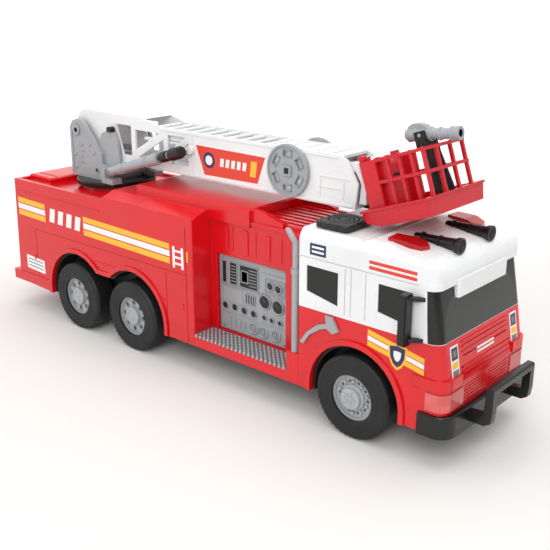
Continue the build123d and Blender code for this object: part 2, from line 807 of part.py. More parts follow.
def air_horn(side):
    """Roof horn: tapered trumpet with a flared bell, on a foot."""
    y = side * 23.0
    with BuildPart() as part:
        with BuildSketch(Plane.XY):
            with BuildLine():
                Polyline(
                    (0, 0), (0, 3.4), (6, 3.8), (22, 4.2), (34, 4.8), (37, 6.0), (40, 6.2),
                    (40, 5.0), (36, 2.4), (36, 0), close=True,
                )
            make_face()
        revolve(axis=Axis.X)
    trumpet = Location((209.5, y, 164.6)) * part.part
    with BuildPart() as horn:
        add(trumpet)
        block((216, y - 2.2, 156), (238, y + 2.2, 163))
        add(cab_upper_volume(0), mode=Mode.SUBTRACT)
    return horn.part


def sound_button():
    """Square roof button with a pattern of concentric ribs, guided in a well in the roof."""
    with BuildPart() as part:
        block((135.8, -55.2, 166.3), (168.2, -20.3, 170.9))
        fillet(part.edges().filter_by(Axis.Z), radius=4)
        top = part.faces().sort_by(Axis.Z)[-1]
        chamfer(top.edges(), length=0.8)
        for radius in (5.0, 9.0, 13.0):
            with BuildSketch(Plane.XY.offset(170.3)):
                with Locations((152, -37.75)):
                    Circle(radius)
                    Circle(radius - 1.2, mode=Mode.SUBTRACT)
            extrude(amount=1.0, mode=Mode.SUBTRACT)
        block((140.5, -51.0, 160.0), (163.5, -24.5, 166.3))
    return part.part


def button_switch():
    """Small switch under the roof button, on a bracket from the cab's rear wall."""
    with BuildPart() as part:
        block((CAB_REAR + 4.9, -42, 150), (158, -34, 152))
        block((147, -42, 152), (157, -34, 156))
        rod_z(152, -38, 2.0, 156, 157.2)
    return part.part


def axe(side):
    """Fire axe clipped to the side of the lower cab."""
    low, high = sorted((side * (BODY_HALF + 0.02), side * (BODY_HALF + 2.4)))
    with BuildPart() as part:
        with BuildSketch(side_plane(high)):
            with BuildLine():
                Polyline(
                    (131.5, 70.0), (134.5, 68.5), (141, 78.0), (152, 85.6), (158.5, 88.0),
                    (164.5, 84.5), (170.0, 88.0), (163.5, 98.5), (157.0, 98.5), (158.0, 92.0),
                    (149, 88.6), (138.5, 80.0), close=True,
                )
            make_face()
        between_y(low, high)
    return part.part


# ---------------------------------------------------------------- turntable and ladder


def turntable_disc():
    """Black turntable with a hollow stem that turns in the deck."""
    with BuildPart() as part:
        rod_z(TURN_X, 0, DISC_RADIUS, DISC_Z, DISC_TOP)
        chamfer(part.edges().filter_by(GeomType.CIRCLE).group_by(Axis.Z)[-1], length=1.2)
        rod_z(TURN_X, 0, STEM_RADIUS, 138.0, DISC_Z)
        rod_z(TURN_X, 0, 1.5, 137.0, 150.0, Mode.SUBTRACT)
    return part.part


def turntable_washer():
    """Retaining washer and screw under the deck."""
    with BuildPart() as part:
        rod_z(TURN_X, 0, 14.0, 136.0, 138.0)
        rod_z(TURN_X, 0, 3.2, 134.0, 136.0)
        rod_z(TURN_X, 0, 1.5, 138.0, 149.0)
    return part.part


def yoke_outline():
    """Side outline of the yoke's cheek plates."""
    pivot_x, pivot_z = PIVOT
    with BuildLine() as line:
        Polyline(
            (-219.5, DISC_TOP), (-218.6, 204), (-213.5, 211), (-206, 213.2), (-198.5, 212.4),
            (-194.5, 209.6), (-167.5, 181), (-167.5, 170.5), (-160, 169.5), (-155.5, 163),
            (-158, 155), (-162, DISC_TOP), close=True,
        )
    make_face(line.edges())


def boom_yoke():
    """Grey yoke: two cheek plates on a base, operator fins, and feet for the rams."""
    with BuildPart() as part:
        block((-219, -27, DISC_TOP), (-162, 27, DISC_TOP + 4))
        for side in SIDES.values():
            low, high = sorted((side * 23.0, side * 27.0))
            with BuildSketch(side_plane(high)):
                yoke_outline()
            between_y(low, high)
            fin_low, fin_high = sorted((side * 20.2, side * 23.4))
            with BuildSketch(side_plane(fin_high)):
                with BuildLine():
                    Polyline(
                        (-176, DISC_TOP), (-174.5, 194), (-169.5, 202), (-162, 204.6),
                        (-151, 204.6), (-145.0, 198), (-142.6, 172), (-156, DISC_TOP + 4),
                        close=True,
                    )
                make_face()
            between_y(fin_low, fin_high)
            foot_low, foot_high = sorted((side * 27.0, side * 34.0))
            block((-161, foot_low, 153), (-155.2, foot_high, 168))
            step_low, step_high = sorted((side * 22.0, side * 34.0))
            block((-160, step_low, 153), (-143, step_high, 158.4))
            rod_y(RAM_BASE[0], RAM_BASE[1], PIN_RADIUS, step_low, step_high)
            rod_y(PIVOT[0], PIVOT[1], 5.2, *sorted((side * 27.0, side * 28.4)))
        rod_y(PIVOT[0], PIVOT[1], 3.0, -30, 30, Mode.SUBTRACT)
        fins_gap = 20.2
        block((-160, -fins_gap, DISC_TOP + 4), (-140, fins_gap, 210), Mode.SUBTRACT)
    return part.part


def yoke_knobs():
    """Black caps on top of the operator fins."""
    with BuildPart() as part:
        for side in SIDES.values():
            low, high = sorted((side * 20.4, side * 26.0))
            rod_y(-155.0, 206.6, 3.4, low, high)
        block((-170, -30, 190), (-140, 30, 204.6), Mode.SUBTRACT)
    return part.part


def boom_pin():
    with BuildPart() as part:
        rod_y(PIVOT[0], PIVOT[1], 3.0, -28.4, 28.4)
    return part.part


def boom_outline(inset):
    """Side outline of the boom housing."""
    with BuildLine() as line:
        Polyline(
            (-212 + inset, 184 + inset),
            (-219 + inset, 192 + inset),
            (-219 + inset, 208 - inset),
            (-206 + inset, BOOM_REAR_TOP - inset),
            (-112, BOOM_REAR_TOP - inset),
            (-86, BOOM_TOP - inset),
            (132 - inset, BOOM_TOP - inset),
            (139.5 - inset, BOOM_TOP - 3 - inset),
            (151 - inset, 195),
            (148.5 - inset, BOOM_BASE + inset),
            (-160, BOOM_BASE + inset),
            (-172, 184 + inset),
            close=True,
        )
    make_face(line.edges())


def boom_windows():
    """Openings of the truss in the rear half of the housing, as XZ corners."""
    return [
        [(-152, 213), (-128, 213), (-128, 183), (-142, 183)],
        [(-122, 210), (-86, 210), (-122, 190)],
        [(-80, 205), (-80, 183), (-118, 183)],
        [(-74, 210), (-50, 210), (-74, 191)],
        [(-46, 205), (-46, 183), (-70, 183)],
    ]


def boom_housing():
    """White outer ladder: trough with truss sides, rungs, guides and crank bearings."""
    inner = BOOM_HALF - BOOM_WALL
    with BuildPart() as part:
        with BuildSketch(side_plane(BOOM_HALF)):
            boom_outline(0)
        between_y(-BOOM_HALF, BOOM_HALF)
        block((-230, -inner, BOOM_BASE + 2.5), (160, inner, BOOM_TOP + 5), Mode.SUBTRACT)
        for points in boom_windows():
            with BuildSketch(side_plane(30)):
                with BuildLine():
                    Polyline(*points, close=True)
                make_face()
            between_y(-30, 30, Mode.SUBTRACT)
        for x in range(-190, -110, 16):
            rod_y(x, BOOM_REAR_TOP - 2.4, 1.9, -inner - 0.5, inner + 0.5)
        for x in range(-94, 48, 16):
            rod_y(x, BOOM_TOP - 2.2, 1.8, -inner - 0.5, inner + 0.5)
        block((48, -inner - 0.5, BOOM_TOP - 3.0), (134, inner + 0.5, BOOM_TOP - 0.4))
        for side in SIDES.values():
            low, high = sorted((side * 13.0, side * (inner + 0.5)))
            block((-110, low, FLY_BASE - 3.0), (139, high, FLY_BASE - 0.6))
            boss = sorted((side * 12.5, side * (inner + 0.5)))
            rod_y(CRANK[0], CRANK[1], 4.6, *boss)
            pivot_boss = sorted((side * inner, side * 20.0))
            rod_y(PIVOT[0], PIVOT[1], 8.0, *pivot_boss)
            tip = sorted((side * BOOM_HALF, side * 23.6))
            rod_y(RAM_TIP[0], RAM_TIP[1], 4.0, *tip)
        rod_y(CRANK[0], CRANK[1], 2.5 + BEARING_GAP, -30, 30, Mode.SUBTRACT)
        rod_y(PIVOT[0], PIVOT[1], 3.0 + BEARING_GAP, -30, 30, Mode.SUBTRACT)
    return part.part


def crank_shaft():
    """Steel shaft with the pinion that drives the inner ladder's rack."""
    teeth = 14
    with BuildPart() as part:
        rod_y(CRANK[0], CRANK[1], 2.5, -22.6, 22.6)
        rod_y(CRANK[0], CRANK[1], PINION_RADIUS - 1.1, -4, 4)
        with Locations(Location((CRANK[0], 0, CRANK[1]), (90, 0, 0))):
            with PolarLocations(PINION_RADIUS - 0.6, teeth):
                Box(2.4, 0.9, 8)
    return part.part


def crank_wheel(side):
    """Grey hand wheel with six slots, pressed on the shaft."""
    low, high = sorted((side * 19.5, side * 22.4))
    rim_low, rim_high = sorted((side * 21.6, side * 22.4))
    with BuildPart() as part:
        rod_y(CRANK[0], CRANK[1], CRANK_RADIUS, low, high)
        rod_y(CRANK[0], CRANK[1], CRANK_RADIUS - 2.0, rim_low, rim_high, Mode.SUBTRACT)
        with Locations(Location((CRANK[0], side * 21, CRANK[1]), (90, 0, 0))):
            with PolarLocations(14.6, 6, start_angle=30):
                Box(5.0, 8.6, 8, mode=Mode.SUBTRACT)
        square = sorted((side * 21.0, side * 23.2))
        block((CRANK[0] - 4.6, square[0], CRANK[1] - 4.6), (CRANK[0] + 4.6, square[1], CRANK[1] + 4.6))
        rod_y(CRANK[0], CRANK[1], 2.5, -22.6, 22.6, Mode.SUBTRACT)
    return part.part


def fly_ladder():
    """White inner ladder with a rack below, and the head that carries the basket."""
    rail = 2.4
    with BuildPart() as part:
        for side in SIDES.values():
            low, high = sorted((side * (FLY_HALF - rail), side * FLY_HALF))
            block((FLY_REAR, low, FLY_BASE), (146, high, FLY_TOP))
        for x in range(int(FLY_REAR) + 8, 140, 21):
            rod_y(x, FLY_TOP - 2.4, 1.6, -FLY_HALF + 1, FLY_HALF - 1)
        block((FLY_REAR, -4, FLY_BASE + 1.2), (146, 4, FLY_BASE + 4.2))
        pitch = 2 * 3.14159265 * PINION_RADIUS / 14
        first = CRANK[0]
        count = int((first - FLY_REAR) / pitch)
        for index in range(count):
            x = first - index * pitch
            block((x - 0.45, -3.6, FLY_BASE - 0.2), (x + 0.45, 3.6, FLY_BASE + 1.3))
        for x in (FLY_REAR + 3, -40.0, 20.0, 142.0):
            block((x, -FLY_HALF + 1, FLY_BASE + 1.2), (x + 4, FLY_HALF - 1, FLY_BASE + 4.2))
        with BuildSketch(side_plane(FLY_HALF)):
            with BuildLine():
                Polyline(
                    (142.0, FLY_TOP), (152.3, 195.2), (150.6, 179), (157.5, 179),
                    (157.2, 192), (147.5, FLY_TOP), close=True,
                )
            make_face()
        between_y(-FLY_HALF, FLY_HALF)
    return part.part


def tip_bracket():
    """Black hinge lug under the ladder's head."""
    x, z = TIP_HINGE
    with BuildPart() as part:
        block((151, -10, 174.6), (156.5, 10, 179.0))
        block((154, -4, z - 2.1), (x, 4, z + 2.3))
        rod_y(x, z, 3.9, -4, 4)
        rod_y(x, z, PIN_RADIUS + BEARING_GAP, -5, 5, Mode.SUBTRACT)
    return part.part


def tilt(part):
    """Carry a piece made in the basket's own frame to its place on the truck."""
    return Location(BASKET_ORIGIN, (0, -BASKET_PITCH, 0)) * part


def basket_tray():
    """Deep tray whose lip is wider than its floor."""
    with BuildPart() as part:
        with BuildSketch(Plane.XY):
            with Locations((TRAY_LENGTH / 2, 0)):
                Rectangle(TRAY_LENGTH, 2 * TRAY_HALF)
        with BuildSketch(Plane.XY.offset(TRAY_HEIGHT)):
            with Locations((TRAY_LENGTH / 2, 0)):
                Rectangle(TRAY_LENGTH + 3, 2 * TRAY_HALF + 5)
        loft()
        with Locations((TRAY_LENGTH / 2, 0, TRAY_HEIGHT + 1)):
            Box(TRAY_LENGTH + 5, 2 * TRAY_HALF + 7, 2)
        with Locations((TRAY_LENGTH / 2, 0, TRAY_HEIGHT / 2 + 4.5)):
            Box(TRAY_LENGTH - 4, 2 * TRAY_HALF - 4, TRAY_HEIGHT + 3, mode=Mode.SUBTRACT)
    return part.part


def basket():
    """Crimson rescue basket: tray, rear wall, console, posts and two rails."""
    bar = 2.6
    lug = TIP_HINGE
    front = TRAY_LENGTH - 1.5
    with BuildPart() as local:
        add(basket_tray())
        block((-1.5, -RAIL_HALF, TRAY_HEIGHT), (1.5, RAIL_HALF, RAIL_TOP - 2))
        for side in SIDES.values():
            low, high = sorted((side * (RAIL_HALF - bar), side * RAIL_HALF))
            block((-1.5, low, TRAY_HEIGHT), (13, high, RAIL_TOP))
            for x in (24.0, 35.0, 46.0, front):
                block((x - bar / 2, low, 3), (x + bar / 2, high, RAIL_TOP))
            for z in (RAIL_MID, RAIL_TOP):
                block((0, low, z - bar), (front + bar / 2, high, z))
            block((-3.5, side * 20.0 - 3, RAIL_TOP - 4), (1.5, side * 20.0 + 3, RAIL_TOP + 3))
        for y in (-9.8, 9.8):
            block((front - bar / 2, y - bar / 2, 3), (front + bar / 2, y + bar / 2, RAIL_TOP))
        for z in (RAIL_MID, RAIL_TOP):
            block((front - bar / 2, -RAIL_HALF, z - bar), (front + bar / 2, RAIL_HALF, z))
        block((3, -24, 3), (20, -8, 44))
        rod_y(11.5, 43.0, 8.5, -24, -8)
        block((1.0, 2.0 - TRAY_HALF, 2.0), (8.0, TRAY_HALF - 2.0, 6.0))
        for side in SIDES.values():
            low, high = sorted((side * 4.4, side * 8.4))
            block((-9.0, low, 3.5), (0, high, 12))
            with Locations(Location((-9.0, side * 6.4, 7.9), (90, 0, 0))):
                Cylinder(4.0, 4.0)
        with BuildSketch(side_plane(60)):
            with BuildLine():
                Polyline((-4.0, -2.0), (17.7, -2.0), (-4.0, 5.36), close=True)
            make_face()
        between_y(-60, 60, Mode.SUBTRACT)
        with Locations(Location((44, 0, 2.0))):
            Cylinder(6.5, 3.0)
        with Locations(Location((44, 0, 4))):
            Cylinder(2.5 + BEARING_GAP, 12, mode=Mode.SUBTRACT)
    with BuildPart() as part:
        add(tilt(local.part))
        rod_y(lug[0], lug[1], PIN_RADIUS, -12, 12, Mode.SUBTRACT)
    return part.part


def basket_pin():
    with BuildPart() as part:
        rod_y(TIP_HINGE[0], TIP_HINGE[1], PIN_RADIUS, -8.4, 8.4)
    return part.part


def monitor_post():
    """Black post of the water cannon, turning in the basket's floor, with a fork on top."""
    with BuildPart() as local:
        rod_z(44, 0, 2.5, 1.0, 6.0)
        rod_z(44, 0, 5.0, 4.0, 6.0)
        rod_z(44, 0, 3.4, 6.0, 52.0)
        block((39, -7.6, 49), (49, 7.6, 52))
        for side in SIDES.values():
            low, high = sorted((side * 6.0, side * 8.6))
            block((39.5, low, 49), (48.5, high, 63))
        with Locations(Location((44, 0, 60), (90, 0, 0))):
            Cylinder(1.5, 30, mode=Mode.SUBTRACT)
    return tilt(local.part)


def monitor_barrel():
    """Grey water cannon with its trunnion, tapered barrel and flared tip."""
    with BuildPart() as turned:
        with BuildSketch(Plane.XY):
            with BuildLine():
                Polyline(
                    (-16, 0), (-16, 4.0), (-12, 5.4), (4, 5.4), (8, 4.6), (22, 4.2), (27, 5.2),
                    (31, 5.2), (31, 3.0), (20, 2.4), (20, 0), close=True,
                )
            make_face()
        revolve(axis=Axis.X)
    with BuildPart() as local:
        add(Location((44, 0, 60), (0, 11, 0)) * turned.part)
        with Locations(Location((44, 0, 60), (90, 0, 0))):
            Cylinder(1.5 - BEARING_GAP, 17.2)
    return tilt(local.part)


# ---------------------------------------------------------------- rams


def ram_angle():
    """Ram's slope at rest, in degrees."""
    rise = RAM_TIP[1] - RAM_BASE[1]
    run = RAM_TIP[0] - RAM_BASE[0]
    return Vector(run, rise, 0).get_signed_angle(Vector(1, 0, 0), Vector(0, 0, -1))


def ram_place(side):
    """Frame of a ram: its X runs from the base pivot to the tip."""
    return Location((RAM_BASE[0], side * RAM_Y, RAM_BASE[1]), (0, -abs(ram_angle()), 0))


def turned(points):
    """Solid of revolution about X from a half outline."""
    with BuildPart() as part:
        with BuildSketch(Plane.XY):
            with BuildLine():
                Polyline(*points, close=True)
            make_face()
        revolve(axis=Axis.X)
    return part.part


def ram_barrel(side):
    """Grey cylinder barrel with a knuckle at its base."""
    outline = [(-4.6, 0), (-4.6, 3.2), (-2.6, 5.0), (4, 5.0), (6, 4.4), (11, 4.4), (12, 5.6),
               (16, 5.6), (17, 4.9), (62, 4.9), (63, 5.7), (76, 5.7), (76, 2.6), (8, 2.6), (8, 0)]
    with BuildPart() as part:
        add(turned(outline))
        with Locations(Location((0, 0, 0), (90, 0, 0))):
            Cylinder(PIN_RADIUS + BEARING_GAP, 12, mode=Mode.SUBTRACT)
    return ram_place(side) * part.part


def ram_rod(side):
    """Black rod with a collared end."""
    outline = [(16, 0), (16, 2.3), (80, 2.3), (80, 4.8), (82, 5.3), (88, 5.3), (90, 4.2), (92, 4.2),
               (94, 5.8), (108, 5.8), (110, 4.8), (110, 0)]
    with BuildPart() as part:
        add(turned(outline))
    return ram_place(side) * part.part


# ---------------------------------------------------------------- write every piece

for axle_name, axle_x in AXLES.items():
    save(f"{axle_name}_axle", axle(axle_x))
    for side_name, side_sign in SIDES.items():
        save(f"{axle_name}_tyre_{side_name}", tyre(axle_x, side_sign))
        save(f"{axle_name}_hub_{side_name}", hub(axle_x, side_sign, axle_name == "front"))

for side_name, side_sign in SIDES.items():
    save(f"mirror_{side_name}", mirror(side_sign))
    save(f"beacon_{side_name}", beacon(side_sign))
    save(f"crank_wheel_{side_name}", crank_wheel(side_sign))
    save(f"ram_barrel_{side_name}", ram_barrel(side_sign))
    save(f"ram_rod_{side_name}", ram_rod(side_sign))


def both_sides(make):
    """One node from the pieces of both sides."""
    return Compound(children=[make(side) for side in SIDES.values()])


save("headlight_lenses", both_sides(headlight))
save("pump_panels", both_sides(pump_panel))
save("side_steps", both_sides(side_step))
save("air_horns", both_sides(air_horn))
save("exhaust_pipes", both_sides(exhaust_pipe))
save("fire_axes", both_sides(axe))
save("side_windows", side_windows())
save("chassis_pan", chassis_pan())
save("body_screws", body_screws())
save("battery_door", battery_door())
save("battery_cells", battery_cells())
save("circuit_board", circuit_board())
save("speaker", speaker())
save("power_switch", power_switch())
save("body_shell", body_shell())
save("cab_lower", cab_lower())
save("cab_upper", cab_upper())
save("windshield", windshield(0.1))
save("bumper", bumper())
save("sound_button", sound_button())
save("button_switch", button_switch())
save("turntable_disc", turntable_disc())
save("turntable_washer", turntable_washer())
save("boom_yoke", boom_yoke())
save("yoke_knobs", yoke_knobs())
save("boom_pin", boom_pin())
save("boom_housing", boom_housing())
save("crank_shaft", crank_shaft())
save("fly_ladder", fly_ladder())
save("tip_bracket", tip_bracket())
save("basket", basket())
save("basket_pin", basket_pin())
save("monitor_post", monitor_post())
save("monitor_barrel", monitor_barrel())
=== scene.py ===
"""Looks of the toy ladder fire engine: finishes, moulded detail, plain decals, studio and camera."""

import json
import math

import bmesh
import bpy
from mathutils import Matrix, Vector


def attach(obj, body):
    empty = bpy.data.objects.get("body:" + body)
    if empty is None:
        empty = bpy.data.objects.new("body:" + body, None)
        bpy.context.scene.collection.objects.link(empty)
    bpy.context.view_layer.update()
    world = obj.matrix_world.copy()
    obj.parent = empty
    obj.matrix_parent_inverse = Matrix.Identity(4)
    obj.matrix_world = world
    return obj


MM = 0.001
SIDES = (-1, 1)

# Places on the truck in mm (a Y is a distance from the middle) and tilts in degrees.
SIDE_Y = 64.0
PANEL_Y = 35.4
YOKE_Y = 27.0
BOOM_Y = 19.0
TYRE_Y = 67.0
LUG_Y = 66.2
HUB_Y = 62.9
BOLT_RADIUS = 13.6
AXLE_Z = 35.5
AXLES = {"rear": -171.7, "middle": -83.9, "front": 185.0}
TURNTABLE_X = -179
BOOM_HINGE = (-206.6, 201.8)
CRANK = (78.9, 22.3, 197.2)
RAM_FOOT = (-147, 30, 166.5)
RAM_RUN, RAM_RISE = 107.0, 33.5
HORN_Y, HORN_Z = 23.0, 164.6
LAMP_Y, LAMP_Z = 43.5, 161.8
BASKET_ORIGIN = (176.5, 0, 167.6)
BASKET_PITCH = 19
CANNON = (44, 0, 60)  # in the basket's own frame
CANNON_DIP = 11
BUTTON_CENTRE = (152, -37.75)

# The photograph's camera, in metres.
EYE = (0.55054, -0.57332, 0.35002)
TARGET = (0.04542, 0.00065, 0.09063)
LENS = 56.9
SENSOR = 36.0

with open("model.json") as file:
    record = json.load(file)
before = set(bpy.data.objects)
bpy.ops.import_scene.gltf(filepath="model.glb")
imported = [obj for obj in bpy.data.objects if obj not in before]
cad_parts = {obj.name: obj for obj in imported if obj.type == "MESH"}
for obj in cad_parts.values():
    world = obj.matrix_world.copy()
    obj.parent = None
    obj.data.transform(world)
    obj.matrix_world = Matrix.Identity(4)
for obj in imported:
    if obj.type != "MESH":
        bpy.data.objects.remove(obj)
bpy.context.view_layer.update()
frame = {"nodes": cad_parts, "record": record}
nodes = frame["nodes"]


# ------------------------------------------------------------------ materials


def linear(rgb):
    """Linear colour from 0-255 screen values."""
    out = []
    for value in rgb:
        v = value / 255
        out.append(v / 12.92 if v <= 0.04045 else ((v + 0.055) / 1.055) ** 2.4)
    return (*out, 1.0)


class Shader:
    """A Principled material under construction."""

    def __init__(self, name):
        self.material = bpy.data.materials.new(name)
        self.material.use_nodes = True
        self.tree = self.material.node_tree
        self.nodes = self.tree.nodes
        self.surface = self.nodes["Principled BSDF"]
        self.coords = self.nodes.new("ShaderNodeTexCoord").outputs["Object"]

    def link(self, a, b):
        """Join an output to an input."""
        self.tree.links.new(a, b)

    def set(self, socket, value):
        """Give a surface input a plain value."""
        self.surface.inputs[socket].default_value = value

    def axes(self):
        """Coordinates taken apart: outputs X, Y and Z."""
        node = self.nodes.new("ShaderNodeSeparateXYZ")
        self.link(self.coords, node.inputs["Vector"])
        return node.outputs

    def noise(self, scale, detail=3.0, stretch=None):
        """Noise over the coordinates, stretched when three scales are given."""
        source = self.coords
        if stretch:
            mapping = self.nodes.new("ShaderNodeMapping")
            mapping.inputs["Scale"].default_value = stretch
            self.link(self.coords, mapping.inputs["Vector"])
            source = mapping.outputs["Vector"]
        node = self.nodes.new("ShaderNodeTexNoise")
        node.inputs["Scale"].default_value = scale
        node.inputs["Detail"].default_value = detail
        self.link(source, node.inputs["Vector"])
        return node.outputs["Fac"]

    def ramp(self, value, low, high, out_low, out_high):
        """Map low..high onto out_low..out_high, held at both ends."""
        node = self.nodes.new("ShaderNodeMapRange")
        node.inputs["From Min"].default_value = low
        node.inputs["From Max"].default_value = high
        node.inputs["To Min"].default_value = out_low
        node.inputs["To Max"].default_value = out_high
        self.link(value, node.inputs["Value"])
        return node.outputs["Result"]

    def math(self, kind, a, b):
        """One arithmetic node on two numbers or outputs."""
        node = self.nodes.new("ShaderNodeMath")
        node.operation = kind
        for index, value in enumerate((a, b)):
            if isinstance(value, (int, float)):
                node.inputs[index].default_value = value
            else:
                self.link(value, node.inputs[index])
        return node.outputs[0]

    def mix(self, factor, a, b):
        """Blend two colours by a factor."""
        node = self.nodes.new("ShaderNodeMix")
        node.data_type = "RGBA"
        sockets = [s for s in node.inputs if s.type == "RGBA"]
        for socket, value in zip(sockets, (a, b)):
            if isinstance(value, tuple):
                socket.default_value = value
            else:
                self.link(value, socket)
        if isinstance(factor, (int, float)):
            node.inputs[0].default_value = factor
        else:
            self.link(factor, node.inputs[0])
        return [s for s in node.outputs if s.type == "RGBA"][0]

    def bump(self, height, distance, strength=1.0, normal=None):
        """Relief of a depth in metres, on top of another normal when one is given."""
        node = self.nodes.new("ShaderNodeBump")
        node.inputs["Strength"].default_value = strength
        node.inputs["Distance"].default_value = distance
        self.link(height, node.inputs["Height"])
        if normal is not None:
            self.link(normal, node.inputs["Normal"])
        return node.outputs["Normal"]

    def rounded(self, radius):
        """Normal that softens edges over a radius in metres."""
        node = self.nodes.new("ShaderNodeBevel")
        node.samples = 4
        node.inputs["Radius"].default_value = radius
        return node.outputs["Normal"]


def plastic(name, rgb, rough=0.3, grain=0.00002, round_edge=0.0004, corner_shade=0.25, specular=0.5):
    """Moulded plastic: soft edges, faint grain, uneven gloss, fine scuffs and painted shade in corners and
    creases.
    """
    s = Shader(name)
    base = linear(rgb)
    broad = s.noise(14.0, 2.0)
    dark = tuple(c * 0.9 for c in base[:3]) + (1.0,)
    colour = s.mix(s.ramp(broad, 0.3, 0.7, 0.0, 1.0), dark, base)
    # Painted shade: ambient occlusion darkens the colour towards a shaded copy in corners and creases.
    occlusion = s.nodes.new("ShaderNodeAmbientOcclusion")
    occlusion.samples = 4
    occlusion.inputs["Distance"].default_value = 0.006
    corner_shade_mask = s.ramp(occlusion.outputs["AO"], 0.2, 0.8, corner_shade, 0.0)
    shade = tuple(c * 0.45 + 0.01 for c in base[:3]) + (1.0,)
    s.link(s.mix(corner_shade_mask, colour, shade), s.surface.inputs["Base Color"])
    scuff = s.noise(90.0, 4.0, (1.0, 0.35, 6.0))
    streak = s.ramp(scuff, 0.62, 0.8, 0.0, 0.05)
    gloss = s.ramp(s.noise(40.0, 3.0), 0.3, 0.7, rough - 0.05, rough + 0.06)
    s.link(s.math("ADD", gloss, streak), s.surface.inputs["Roughness"])
    s.set("Specular IOR Level", specular)
    fine = s.noise(900.0, 2.0)
    wave = s.noise(55.0, 1.0)
    normal = s.bump(wave, grain * 6, 0.35, s.rounded(round_edge) if round_edge else None)
    s.link(s.bump(fine, grain, 0.5, normal), s.surface.inputs["Normal"])
    return s


def rubber():
    """Charcoal moulded tyre with a dry bloom and fine pitting."""
    s = Shader("tyre_black")
    bloom = s.ramp(s.noise(26.0, 5.0), 0.35, 0.7, 0.0, 1.0)
    s.link(s.mix(bloom, linear((12, 13, 14)), linear((22, 23, 24))), s.surface.inputs["Base Color"])
    s.link(s.ramp(s.noise(60.0, 3.0), 0.3, 0.7, 0.5, 0.68), s.surface.inputs["Roughness"])
    fine = s.noise(1400.0, 3.0)
    s.link(s.bump(fine, 0.00003, 0.6, s.rounded(0.0006)), s.surface.inputs["Normal"])
    return s


def metal(name, rgb, rough):
    """Bare metal with fine streaks."""
    s = Shader(name)
    s.set("Base Color", linear(rgb))
    s.set("Metallic", 1.0)
    streaks = s.noise(120.0, 4.0, (1.0, 12.0, 1.0))
    s.link(s.ramp(streaks, 0.3, 0.7, rough - 0.08, rough + 0.1), s.surface.inputs["Roughness"])
    s.link(s.bump(streaks, 0.00001, 0.4), s.surface.inputs["Normal"])
    return s


def clear(name, rgb, rough, transmission):
    """Tinted clear moulding with inner waviness."""
    s = Shader(name)
    s.link(
        s.mix(s.ramp(s.noise(60.0, 2.0), 0.3, 0.7, 0.0, 1.0), linear(rgb), linear([c * 0.85 for c in rgb])),
        s.surface.inputs["Base Color"],
    )
    s.set("Transmission Weight", transmission)
    s.set("IOR", 1.49)
    s.link(s.ramp(s.noise(30.0, 3.0), 0.3, 0.7, rough, rough + 0.08), s.surface.inputs["Roughness"])
    s.link(s.bump(s.noise(240.0, 2.0), 0.00004, 0.5, s.rounded(0.0005)), s.surface.inputs["Normal"])
    return s


def tread_plate():
    """Silver-painted plate with a raised diamond pattern, lighter on the diamonds and darker in the grooves
    as painted light and shade.
    """
    s = plastic("silver_plate", (150, 152, 155), 0.3, corner_shade=0.35)
    split = s.axes()
    total = s.math("ADD", split["X"], split["Y"])
    delta = s.math("SUBTRACT", split["X"], split["Y"])
    rows = []
    for value in (total, delta):
        rows.append(s.math("ABSOLUTE", s.math("SINE", s.math("MULTIPLY", value, 620.0), 0.0), 0.0))
    weave = s.math("MULTIPLY", rows[0], rows[1])
    raised = s.ramp(weave, 0.35, 0.6, 0.0, 1.0)
    s.link(s.bump(raised, 0.0009, 1.0), s.surface.inputs["Normal"])
    # Painted highlight on the raised diamonds and painted shade in the grooves between them.
    s.link(s.mix(raised, linear((96, 98, 101)), linear((186, 188, 190))), s.surface.inputs["Base Color"])
    return s


def grille_pattern(s, centre, pitch):
    """Add concentric rings, in the XY plane about a centre, to a material's relief."""
    split = s.axes()
    dx = s.math("SUBTRACT", split["X"], centre[0] * MM)
    dy = s.math("SUBTRACT", split["Y"], centre[1] * MM)
    squares = s.math("ADD", s.math("MULTIPLY", dx, dx), s.math("MULTIPLY", dy, dy))
    radius = s.math("SQRT", squares, 0.0)
    rings = s.math("SINE", s.math("MULTIPLY", radius, 2 * math.pi / (pitch * MM)), 0.0)
    s.link(s.bump(rings, 0.0005, 0.9), s.surface.inputs["Normal"])


def windshield_glass():
    """Glossy dark glass with a painted grey reflection over the front, which turns black towards both upper
    corners along a curved edge.
    """
    s = plastic("windshield_grey", (52, 53, 54), 0.08, grain=0.000005, corner_shade=0.1)
    split = s.axes()
    flat_half, corner_wide, base_z, corner_tall = 0.022, 0.035, 0.100, 0.038
    off = s.math("SUBTRACT", s.math("ABSOLUTE", split["Y"], 0.0), flat_half)
    wide = s.math("DIVIDE", s.math("MAXIMUM", off, 0.0), corner_wide)
    tall = s.math("DIVIDE", s.math("SUBTRACT", split["Z"], base_z), corner_tall)
    reach = s.math("ADD", s.math("MULTIPLY", wide, wide), s.math("MULTIPLY", tall, tall))
    # Painted reflection: grey inside the curved edge, black glass outside it.
    outside_reflection = s.ramp(reach, 0.97, 1.03, 0.0, 1.0)
    s.link(s.mix(outside_reflection, linear((42, 43, 44)), linear((4, 4, 5))), s.surface.inputs["Base Color"])
    return s


